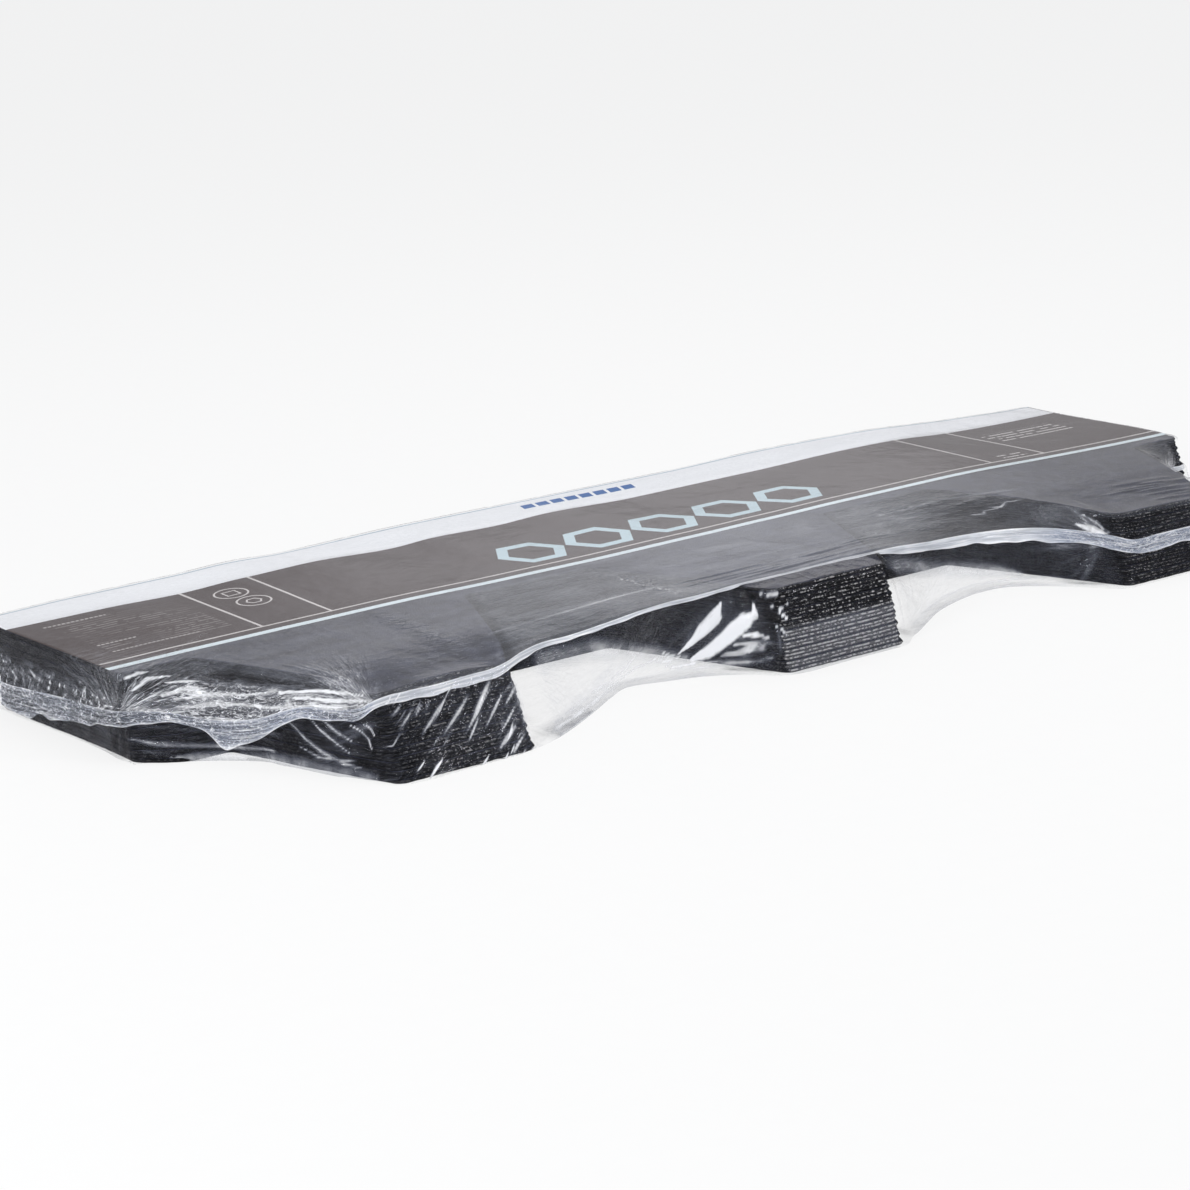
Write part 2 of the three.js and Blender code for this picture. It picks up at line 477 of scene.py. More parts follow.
def placed_in_scene(name: str, data: bpy.types.ID) -> Piece:
    """Makes an object of a mesh, camera or light and links it."""
    made = bpy.data.objects.new(name, data)
    bpy.context.scene.collection.objects.link(made)
    return made


def mesh_of(bm: bmesh.types.BMesh, name: str) -> bpy.types.Mesh:
    """Turns a bmesh into a new mesh and frees it.

    Args:
        bm: the bmesh, which is gone afterwards.
        name: name of the mesh.

    Returns:
        The mesh.
    """
    mesh = bpy.data.meshes.new(name)
    bm.to_mesh(mesh)
    bm.free()
    return mesh


def sheet_mesh(name: str, columns: int, rows: int, places: Points, along: Points, across: Points) -> Piece:
    """Makes a grid of faces and moves its vertices to `places`.

    Args:
        name: name of the new object.
        columns: cells along the first axis.
        rows: cells along the second axis.
        places: bundle positions, shaped (columns + 1, rows + 1, 3).
        along: UV distance in metres of each vertex along the first axis.
        across: the same along the second.

    Returns:
        The new object, with its faces pointing as the two axes turn.
    """
    bm = bmesh.new()
    bmesh.ops.create_grid(bm, x_segments=columns, y_segments=rows, size=0.5)
    mesh = mesh_of(bm, name)
    flat = np.zeros(len(mesh.vertices) * 3, np.float32)
    mesh.vertices.foreach_get("co", flat)
    flat = flat.reshape(-1, 3)
    i = np.rint((flat[:, 0] + 0.5) * columns).astype(int)
    j = np.rint((flat[:, 1] + 0.5) * rows).astype(int)
    mesh.vertices.foreach_set("co", to_row(places[i, j]).astype(np.float32).ravel())
    corner = np.zeros(len(mesh.loops), np.int32)
    mesh.loops.foreach_get("vertex_index", corner)
    uv = np.stack((along[i, j], across[i, j]), -1)[corner]
    mesh.uv_layers.new(name="flat").data.foreach_set("uv", uv.astype(np.float32).ravel())
    for key, column in (("grid_i", i), ("grid_j", j)):
        mesh.attributes.new(key, "INT", "POINT").data.foreach_set("value", column.astype(np.int32))
    return placed_in_scene(name, mesh)


def paint(made: Piece, name: str, values: Points) -> None:
    """Stores a number or a vector for each vertex of a sheet, given on the sheet's grid.

    Args:
        made: the sheet.
        name: name of the mark.
        values: a number or a vector for each place of the sheet's grid.
    """
    mesh = made.data
    i = np.zeros(len(mesh.vertices), np.int32)
    j = i.copy()
    mesh.attributes["grid_i"].data.foreach_get("value", i)
    mesh.attributes["grid_j"].data.foreach_get("value", j)
    if values.ndim == 3:
        layer = mesh.attributes.new(name, "FLOAT_VECTOR", "POINT")
        layer.data.foreach_set("vector", values[i, j].astype(np.float32).ravel())
    else:
        layer = mesh.attributes.new(name, "FLOAT", "POINT")
        layer.data.foreach_set("value", values[i, j].astype(np.float32))


def finish_sheet(made: Piece, weld: bool = False) -> None:
    """Welds a sheet's meeting edges if asked, drops its helper marks and shades it smooth.

    Args:
        made: the sheet.
        weld: whether its first and last column meet.
    """
    mesh = made.data
    for key in ("grid_i", "grid_j"):
        mesh.attributes.remove(mesh.attributes[key])
    if weld:
        bm = bmesh.new()
        bm.from_mesh(mesh)
        bmesh.ops.remove_doubles(bm, verts=bm.verts, dist=1e-6)
        bm.to_mesh(mesh)
        bm.free()
    mesh.polygons.foreach_set("use_smooth", np.ones(len(mesh.polygons), bool))
    mesh.update()


class Graph:
    """A short way to place and join the nodes of one shader tree."""

    def __init__(self, tree: bpy.types.NodeTree) -> None:
        """Starts on a tree, emptied."""
        self.tree = tree
        tree.nodes.clear()

    def node(self, kind: str, inputs: dict[int | str, object] | None = None, **settings: object) -> bpy.types.Node:
        """Adds a node.

        Args:
            kind: the node's type after ShaderNode.
            inputs: values or sockets for its inputs.
            settings: its own properties.

        Returns:
            The node.
        """
        made = self.tree.nodes.new("ShaderNode" + kind)
        for key, value in settings.items():
            setattr(made, key, value)
        for key, value in (inputs or {}).items():
            if isinstance(value, Socket):
                self.tree.links.new(value, made.inputs[key])
            else:
                made.inputs[key].default_value = value
        return made

    def grouped(self, tree: Tree, inputs: dict[int | str, object]) -> bpy.types.NodeOutputs:
        """A node group's outputs."""
        return self.node("Group", inputs, node_tree=tree).outputs

    def maths(self, operation: str, *values: object) -> Socket:
        """A Math node's result."""
        return self.node("Math", dict(enumerate(values)), operation=operation).outputs[0]

    def plus(self, first: object, second: object) -> Socket:
        """A sum."""
        return self.maths("ADD", first, second)

    def minus(self, first: object, second: object) -> Socket:
        """A difference."""
        return self.maths("SUBTRACT", first, second)

    def times(self, first: object, second: object) -> Socket:
        """A product."""
        return self.maths("MULTIPLY", first, second)

    def most(self, first: object, second: object) -> Socket:
        """The larger of two."""
        return self.maths("MAXIMUM", first, second)

    def size(self, value: object) -> Socket:
        """A number without its sign."""
        return self.maths("ABSOLUTE", value)

    def scaled(self, vector: object, share: object) -> Socket:
        """A vector or colour times a number."""
        return self.node("VectorMath", {0: vector, 3: share}, operation="SCALE").outputs[0]

    def between(self, value: object, low: float, high: float, to_low: float = 0.0, to_high: float = 1.0) -> Socket:
        """Maps a range smoothly onto another."""
        sockets = {0: value, 1: low, 2: high, 3: to_low, 4: to_high}
        return self.node("MapRange", sockets, interpolation_type="SMOOTHSTEP").outputs[0]

    def blend(self, share: object, first: object, second: object) -> Socket:
        """Mixes two colours."""
        return self.node("Mix", {0: share, 6: first, 7: second}, data_type="RGBA").outputs[2]

    def placed(
        self, vector: object, scale: Triple = (1, 1, 1), turn: Triple = (0, 0, 0), move: Triple = (0, 0, 0),
    ) -> Socket:
        """A coordinate that is scaled, turned and moved."""
        return self.node("Mapping", {0: vector, 1: move, 2: turn, 3: scale}).outputs[0]

    def noise(
        self, vector: object, scale: float, detail: float = 3.0, rough: float = 0.5, distortion: float = 0.0,
    ) -> Socket:
        """Noise from 0 to 1.

        Args:
            vector: coordinates to take it at.
            scale: its scale.
            detail: how many octaves it has.
            rough: how strong the fine ones are.
            distortion: how far it is bent.

        Returns:
            The noise.
        """
        return self.node(
            "TexNoise",
            {"Vector": vector, "Scale": scale, "Detail": detail, "Roughness": rough, "Distortion": distortion},
        ).outputs[0]

    def objects(self) -> Socket:
        """The object's own coordinates."""
        return self.node("TexCoord").outputs["Object"]

    def flat(self) -> Socket:
        """The sheet's own UV coordinates, in metres."""
        return self.node("UVMap", uv_map="flat").outputs[0]

    def mark(self, name: str) -> Socket:
        """A painted number."""
        return self.node("Attribute", attribute_name=name, attribute_type="GEOMETRY").outputs["Fac"]

    def bump(self, height: object, strength: float, distance: float) -> Socket:
        """A bump's normal."""
        return self.node("Bump", {"Strength": strength, "Distance": distance, "Height": height}).outputs[0]

    def closed(self, outputs: dict[str, Socket]) -> Tree:
        """Joins a group's results to its outputs and returns its tree."""
        target = self.tree.nodes.new("NodeGroupOutput")
        for key, value in outputs.items():
            self.tree.links.new(value, target.inputs[key])
        return self.tree

    def surface(self, shader: bpy.types.Node) -> None:
        """Joins a shader to the material's output."""
        self.tree.links.new(shader.outputs[0], self.node("OutputMaterial").inputs[0])

    def principled(self, inputs: dict[int | str, object]) -> None:
        """Makes a principled shader the material's surface."""
        self.surface(self.node("BsdfPrincipled", inputs))


def new_material(name: str) -> tuple[Material, Graph]:
    """Makes an empty material with its graph."""
    material = bpy.data.materials.new(name)
    material.use_nodes = True
    return material, Graph(material.node_tree)


def group_of(name: str, inputs: dict[str, float], outputs: tuple[str, ...]) -> tuple[Graph, bpy.types.NodeOutputs]:
    """Starts a node group.

    Args:
        name: its name.
        inputs: its number inputs with their defaults, after a Vector input.
        outputs: its number outputs.

    Returns:
        Its graph, and the sockets of its inputs.
    """
    tree = bpy.data.node_groups.new(name, "ShaderNodeTree")
    tree.interface.new_socket(name="Vector", in_out="INPUT", socket_type="NodeSocketVector")
    for key, value in inputs.items():
        tree.interface.new_socket(name=key, in_out="INPUT", socket_type="NodeSocketFloat").default_value = value
    for key in outputs:
        tree.interface.new_socket(name=key, in_out="OUTPUT", socket_type="NodeSocketFloat")
    return Graph(tree), tree.nodes.new("NodeGroupInput").outputs


class Effects:
    """Node groups that more than one finish uses."""

    def __init__(self) -> None:
        """Builds the groups."""
        self.grit = self._grit()
        self.creases = self._creases()

    def _grit(self) -> Tree:
        """Crushed stone granules: bright specks, uneven tone and height.

        Returns:
            The group's tree.
        """
        g, source = group_of("granule_grit", {"Size": 700.0, "Amount": 0.2}, ("Speck", "Tone", "Height"))
        vector = source["Vector"]
        cell = g.node("TexVoronoi", {"Vector": vector, "Scale": source["Size"]}, feature="F1").outputs
        shade = g.node("SeparateColor", {0: cell["Color"]}).outputs[0]
        picked = g.maths("GREATER_THAN", shade, g.minus(1.0, source["Amount"]))
        speck = g.times(picked, g.between(cell["Distance"], 0.55, 0.25))
        tone = g.noise(vector, 90.0, 4.0, 0.6)
        return g.closed({"Speck": speck, "Tone": tone, "Height": g.between(cell["Distance"], 0.7, 0.0)})

    def _creases(self) -> Tree:
        """Creased film: thin bright lines (milky creases and painted highlights), broad bright streaks (painted
        highlights) and the height of the ripples between them.

        Returns:
            The group's tree.
        """
        g, source = group_of("film_creases", {"Amount": 0.5}, ("Crease", "Streak", "Height"))
        vector, amount = source["Vector"], source["Amount"]
        wide = g.noise(vector, 1.0, 2.0, 0.5, 0.9)
        fine = g.noise(vector, 2.7, 2.0, 0.5, 0.6)
        first = g.between(g.size(g.minus(wide, 0.5)), 0.03, 0.0)
        second = g.between(g.size(g.minus(fine, 0.47)), 0.035, 0.0, 0.0, 0.7)
        crease = g.times(g.most(first, second), amount)
        streak = g.between(g.noise(vector, 0.8, 1.0, 0.4), 0.61, 0.7)
        height = g.times(g.maths("MULTIPLY_ADD", fine, 0.35, wide), amount)
        return g.closed({"Crease": crease, "Streak": streak, "Height": height})


@dataclass(frozen=True)
class GranuleFinish:
    """Faces of a shingle: near-black bitumen under crushed stone."""

    base: Colour = (0.024, 0.026, 0.044)
    speck: Colour = (0.12, 0.12, 0.15)

    def make(self, effects: Effects) -> Material:
        """Builds the material.

        Args:
            effects: the shared node groups.

        Returns:
            The material.
        """
        material, g = new_material("granules")
        grit = g.grouped(effects.grit, {"Vector": g.objects(), "Size": 620.0, "Amount": 0.06})
        tone = g.between(grit["Tone"], 0.3, 0.7, 0.6, 1.5)
        colour = g.scaled(self.base, tone)
        colour = g.blend(grit["Speck"], colour, (*self.speck, 1.0))
        normal = g.bump(grit["Height"], 0.6, 0.0006)
        g.principled({"Base Color": colour, "Roughness": 0.82, "Specular IOR Level": 0.25, "Normal": normal})
        return material


@dataclass(frozen=True)
class CutEdgeFinish:
    """Cut edge of a shingle: dark bitumen with a broken row of granules along each layer, bare on the tabs' fronts;
    painted shade darkens each layer where it meets the next, and a painted sheen lifts the middle tab's lower front.
    """

    base: Colour = (0.009, 0.009, 0.011)
    speck: Colour = (0.55, 0.54, 0.55)

    def make(self, effects: Effects) -> Material:
        """Builds the material.

        Args:
            effects: the shared node groups.

        Returns:
            The material.
        """
        material, g = new_material("cut_edges")
        place, rise, front = g.objects(), g.mark("rise"), g.mark("front")
        grit = g.grouped(effects.grit, {"Vector": place, "Size": 900.0, "Amount": 0.1})
        band = g.times(g.between(rise, 0.45, 0.6), g.between(rise, 0.92, 0.78))
        # Where the front mark passes 1.1, on the lower layers of the middle tab, the edge gets denser specks and a
        # painted sheen that lifts it towards pale grey.
        specks_and_sheen = g.between(front, 1.1, 1.8)
        grain = g.noise(g.placed(place, (400, 400, 357)), 1.0, 2.0, 0.65)
        dashes = g.between(g.maths("MULTIPLY_ADD", specks_and_sheen, 0.065, grain), 0.53, 0.6)
        patch = g.between(g.noise(place, 22.0, 2.0), 0.35, 0.65, 0.55, 1.0)
        speck = g.times(g.times(band, dashes), patch)
        speck = g.times(g.most(speck, g.times(grit["Speck"], 0.5)), front)
        # Painted shade: each layer's rim darkens towards its top and bottom edges, where it meets the next layer.
        gap = g.times(g.between(rise, 0.0, 0.22, 0.15, 1.0), g.between(rise, 1.0, 0.9, 0.15, 1.0))
        gap = g.most(gap, g.times(specks_and_sheen, 0.4))
        tone = g.times(g.between(grit["Tone"], 0.3, 0.7, 0.6, 2.0), gap)
        colour = g.scaled(self.base, tone)
        colour = g.blend(g.times(g.most(speck, g.times(specks_and_sheen, 0.2)), gap), colour, (*self.speck, 1.0))
        normal = g.bump(grit["Height"], 0.9, 0.0008)
        g.principled({"Base Color": colour, "Roughness": 0.7, "Specular IOR Level": 0.1, "Normal": normal})
        return material


class Plate:
    """Printed shapes, as masks over the label's own plane in millimetres."""

    def __init__(self, graph: Graph) -> None:
        """Reads the sheet's coordinates."""
        self.g = graph
        parts = graph.node("SeparateXYZ", {0: graph.placed(graph.flat(), (1000.0, 1000.0, 1000.0))}).outputs
        self.u, self.v = parts[0], parts[1]

    def off(self, value: object, place: float) -> Socket:
        """How far a number is from `place`."""
        return self.g.size(self.g.minus(value, place))

    def stroke(self, far: object, width: float, soft: float = 0.3) -> Socket:
        """A line of `width` where a distance is 0."""
        return self.g.between(far, width / 2 + soft, width / 2 - soft)

    def bar(self, across: Pair, along: Pair) -> Socket:
        """A filled rectangle."""
        gap = []
        for value, (low, high) in ((self.u, across), (self.v, along)):
            gap.append(self.g.minus(self.off(value, (low + high) / 2), (high - low) / 2))
        return self.g.between(self.g.most(*gap), 0.25, -0.25)

    def square(self, centre: Pair, half: float, width: float) -> Socket:
        """A square's outline."""
        far = self.g.most(self.off(self.u, centre[0]), self.off(self.v, centre[1]))
        return self.stroke(self.off(far, half), width, 0.2)

    def ring(self, centre: Pair, radius: float, width: float) -> Socket:
        """A circle's outline."""
        squares = [self.g.maths("POWER", self.g.minus(v, c), 2.0) for v, c in zip((self.u, self.v), centre)]
        return self.stroke(self.off(self.g.maths("SQRT", self.g.plus(*squares)), radius), width)

    def hexagons(self, first: Pair, radius: float, width: float, count: int) -> Socket:
        """A row of hexagon outlines, side by side.

        Args:
            first: middle of the leftmost.
            radius: half the pitch from one to the next.
            width: width of the line.
            count: number of hexagons.

        Returns:
            Their mask.
        """
        (x, y), pitch, g = first, 2.0 * radius, self.g
        dx = self.off(g.maths("MODULO", g.minus(self.u, x - pitch / 2), pitch), pitch / 2)
        dy = self.off(self.v, y)
        slope = g.plus(g.times(dx, 0.866), g.times(dy, 0.5))
        line = self.stroke(self.off(g.most(slope, dy), radius * 0.84 - width / 2), width)
        span = (x - pitch / 2, x + pitch * (count - 0.5))
        return g.times(line, self.bar(span, (y - radius * 1.2, y + radius * 1.2)))

    def blocks(self, across: Pair, along: Pair, pitch: float, share: float) -> Socket:
        """A bar cut into even blocks that fill `share` of their pitch."""
        cut = self.g.maths("LESS_THAN", self.g.maths("FRACT", self.g.maths("DIVIDE", self.u, pitch)), share)
        return self.g.times(self.bar(across, along), cut)

    def paragraphs(self) -> Socket:
        """Strength of the small print: faint paragraphs of uneven length."""
        place = {0: self.g.times(self.u, 0.013), 1: self.g.times(self.v, 0.055), 2: 0.0}
        return self.g.between(self.g.noise(self.g.node("CombineXYZ", place).outputs[0], 1.0, 1.0), 0.4, 0.6, 0.05, 0.4)

    def small_print(self, across: Pair, along: Pair, pitch: float) -> Socket:
        """Rows of short bars, `pitch` apart, that stand for small print.

        Args:
            across: the field's two ends in u.
            along: its two ends in v.
            pitch: distance between rows.

        Returns:
            Where the bars are.
        """
        g = self.g
        row = g.maths("DIVIDE", g.minus(self.v, along[0]), pitch)
        line = g.maths("LESS_THAN", g.maths("FRACT", row), 0.3)
        words = g.node("CombineXYZ", {0: g.times(self.u, 0.16), 1: g.times(g.maths("FLOOR", row), 3.7), 2: 0.0})
        broken = g.maths("GREATER_THAN", g.noise(words.outputs[0], 1.0, 1.0), 0.42)
        return g.times(g.times(line, broken), self.bar(across, along))


@dataclass(frozen=True)
class LabelFinish:
    """Printed sheet: a dark band with pale rules, plain rings and hexagons, and a pale rear band."""

    ink: Colour = (0.052, 0.03, 0.027)
    paper: Colour = (0.93, 0.94, 0.97)
    front_blue: Colour = (0.84, 0.95, 1.0)
    pale_blue: Colour = (0.6, 0.76, 0.83)
    rule: Colour = (0.74, 0.7, 0.69)
    blue: Colour = (0.07, 0.17, 0.42)
    rear_line: Colour = (0.42, 0.52, 0.6)
    band_depth: float = 141.0
    divider_places: tuple[float, ...] = (129.2, 186.0, 816.4, 874.5)
    divider_half: float = 1.1
    ring_places: tuple[Pair, ...] = ((155.9, 111.7), (158.6, 82.3))
    headings: tuple[tuple[Pair, Pair], ...] = (
        ((20, 66), (124.5, 126.5)), ((24, 54), (58.6, 60.6)), ((24, 92), (38.2, 40.0)),
    )
    notes: tuple[tuple[Pair, Pair, float], ...] = (((884, 966), (80, 113), 8.2), ((836, 862), (24, 40), 8.0))

    def make(self) -> Material:
        """Builds the material.

        Returns:
            The material.
        """
        material, g = new_material("printed_label")
        plate = Plate(g)
        band = g.between(plate.v, self.band_depth + 0.4, self.band_depth - 0.4)
        colour = g.blend(band, (*self.paper, 1), (*self.ink, 1))
        colour = g.blend(plate.bar((0, 1000), (0.4, 7.2)), colour, (*self.front_blue, 1))
        rules = plate.bar((2, 1000), (16.6, 18.8))
        for place in self.divider_places:
            divider = (place - self.divider_half, place + self.divider_half)
            rules = g.most(rules, plate.bar(divider, (17.6, self.band_depth)))
        for centre in self.ring_places:
            rules = g.most(rules, plate.ring(centre, 12.6, 1.5))
        rules = g.most(rules, plate.square(self.ring_places[0], 5.2, 1.3))
        rules = g.most(rules, plate.hexagons(self.ring_places[1], 7.0, 1.4, 1))
        colour = g.blend(rules, colour, (*self.rule, 1))
        lines = g.times(plate.small_print((24, 116), (38, 128), 5.0), plate.paragraphs())
        for note in self.notes:
            lines = g.most(lines, g.times(plate.small_print(*note), 1.3))
        for across, along in self.headings:
            lines = g.most(lines, plate.blocks(across, along, 3.4, 0.7))
        colour = g.blend(g.times(lines, 0.75), colour, (*self.rule, 1))
        colour = g.blend(plate.hexagons((383.0, 54.0), 31.0, 8.5, 5), colour, (*self.pale_blue, 1))
        colour = g.blend(plate.blocks((447, 559), (158.5, 165.5), 14.0, 0.78), colour, (*self.blue, 1))
        colour = g.blend(plate.bar((0, 1000), (172.6, 174.0)), colour, (*self.rear_line, 1))
        fibre = g.noise(g.placed(g.objects(), (1, 3, 1)), 300.0, 2.0)
        colour = g.scaled(colour, g.between(fibre, 0.2, 0.8, 0.96, 1.04))
        normal = g.bump(g.noise(g.objects(), 22.0, 2.0), 0.2, 0.002)
        g.principled({"Base Color": colour, "Roughness": 0.55, "Specular IOR Level": 0.2, "Normal": normal})
        return material


@dataclass(frozen=True)
class FilmFinish:
    """Clear shrink film: a faint veil that thickens in its creases and carries painted highlights and painted sheen,
    under a gloss that grows with the slant.
    """

    name: str
    grain: Pair
    straight_gloss: float
    veil: Colour = (0.62, 0.66, 0.78)
    crease: Colour = (0.95, 0.96, 1.0)
    gloss: Colour = (0.96, 0.95, 1.0)

    def make(self, effects: Effects) -> Material:
        """Builds the material.

        The film's gloss is set as metal, so that Alpha lets through what is behind it and doesn't dim the gloss.

        Args:
            effects: the shared node groups.

        Returns:
            The material.
        """
        material, g = new_material(self.name)
        haze, crumple, slash, shine = g.mark("haze"), g.mark("crumple"), g.mark("slash"), g.mark("shine")
        vector = g.placed(g.flat(), (*self.grain, 1.0))
        folds = g.grouped(effects.creases, {"Vector": vector, "Amount": crumple})
        fan = g.node("Attribute", attribute_name="fan", attribute_type="GEOMETRY").outputs["Vector"]
        reach = g.node("SeparateXYZ", {0: fan}).outputs[2]
        rays = g.grouped(effects.creases, {"Vector": g.placed(fan, (1.0, 1.0, 0.0)), "Amount": reach})
        ripple = g.noise(g.objects(), 26.0, 2.0, 0.5, 0.6)
        brushed = g.noise(g.placed(g.objects(), (7.0, 80.0, 7.0)), 1.0, 5.0, 0.7)
        # The haze mark holds film haze together with painted highlights, painted sheen and, on the lower film, painted
        # shade.
        veil = g.times(haze, g.between(ripple, 0.3, 0.7, 0.8, 1.2))
        veil = g.times(veil, g.between(brushed, 0.3, 0.7, 0.6, 1.4))
        # Creases whiten the veil, partly as milky creasing and partly as painted highlights; streaks, where the slash
        # mark allows, are painted highlights.
        veil = g.maths("MULTIPLY_ADD", folds["Crease"], 0.7, veil)
        veil = g.maths("MULTIPLY_ADD", rays["Crease"], 0.7, veil)
        veil = g.maths("MULTIPLY_ADD", folds["Streak"], slash, veil)
        veil = g.maths("MINIMUM", veil, 0.96)
        height = g.plus(folds["Height"], rays["Height"])
        height = g.maths("MULTIPLY_ADD", ripple, 0.25, height)
        normal = g.bump(height, 0.9, 0.003)
        slant = g.node("LayerWeight", {"Blend": 0.5, "Normal": normal}).outputs["Facing"]
        mirror = g.maths("MULTIPLY_ADD", g.maths("POWER", slant, 5.0), 1.0 - self.straight_gloss, self.straight_gloss)
        mirror = g.times(g.times(mirror, shine), g.minus(1.0, veil))
        alpha = g.plus(veil, mirror)
        share = g.maths("DIVIDE", mirror, alpha)
        colour = g.blend(g.between(veil, 0.1, 0.5), (*self.veil, 1), (*self.crease, 1))
        colour = g.blend(share, colour, (*self.gloss, 1))
        g.principled({"Base Color": colour, "Alpha": alpha, "Metallic": share, "Roughness": 0.08, "Normal": normal})
        return material


@dataclass(frozen=True)
class SeamFinish:
    """The welded seam: two layers shrunk together, milky or crackled."""

    tint: Colour = (0.76, 0.79, 0.86)
    thin: Colour = (0.45, 0.51, 0.66)
    crease: Colour = (0.95, 0.95, 0.97)

    def make(self, effects: Effects) -> Material:
        """Builds the material.

        Args:
            effects: the shared node groups.

        Returns:
            The material.
        """
        material, g = new_material("seam_weld")
        flat, haze, rim = g.flat(), g.mark("haze"), g.mark("rim")
        crackle = g.between(haze, 0.8, 0.4)
        folds = g.grouped(effects.creases, {"Vector": g.placed(flat, (110.0, 260.0, 1.0)), "Amount": crackle})
        streaks = g.noise(g.placed(flat, (34.0, 650.0, 1.0)), 1.0, 3.0, 0.5, 0.5)
        alpha = g.maths("MULTIPLY_ADD", folds["Crease"], 0.5, g.maths("MULTIPLY_ADD", rim, 0.45, haze))
        alpha = g.maths("MINIMUM", g.plus(alpha, g.between(streaks, 0.35, 0.65, -0.12, 0.14)), 0.96)
        tint = g.blend(g.between(haze, 0.6, 0.8), (*self.thin, 1), (*self.tint, 1))
        pale = g.most(g.most(folds["Crease"], rim), g.between(streaks, 0.5, 0.7))
        colour = g.blend(pale, tint, (*self.crease, 1))
        height = g.plus(folds["Height"], g.times(streaks, 0.5))
        normal = g.bump(height, 0.9, 0.0015)
        g.principled({
            "Base Color": colour, "Alpha": alpha, "Roughness": 0.25, "IOR": 1.5, "Normal": normal,
            "Coat Weight": 0.6, "Coat Roughness": 0.08, "Coat IOR": 1.5, "Coat Normal": normal,
        })
        return material


# ---- The bundle's pieces ----


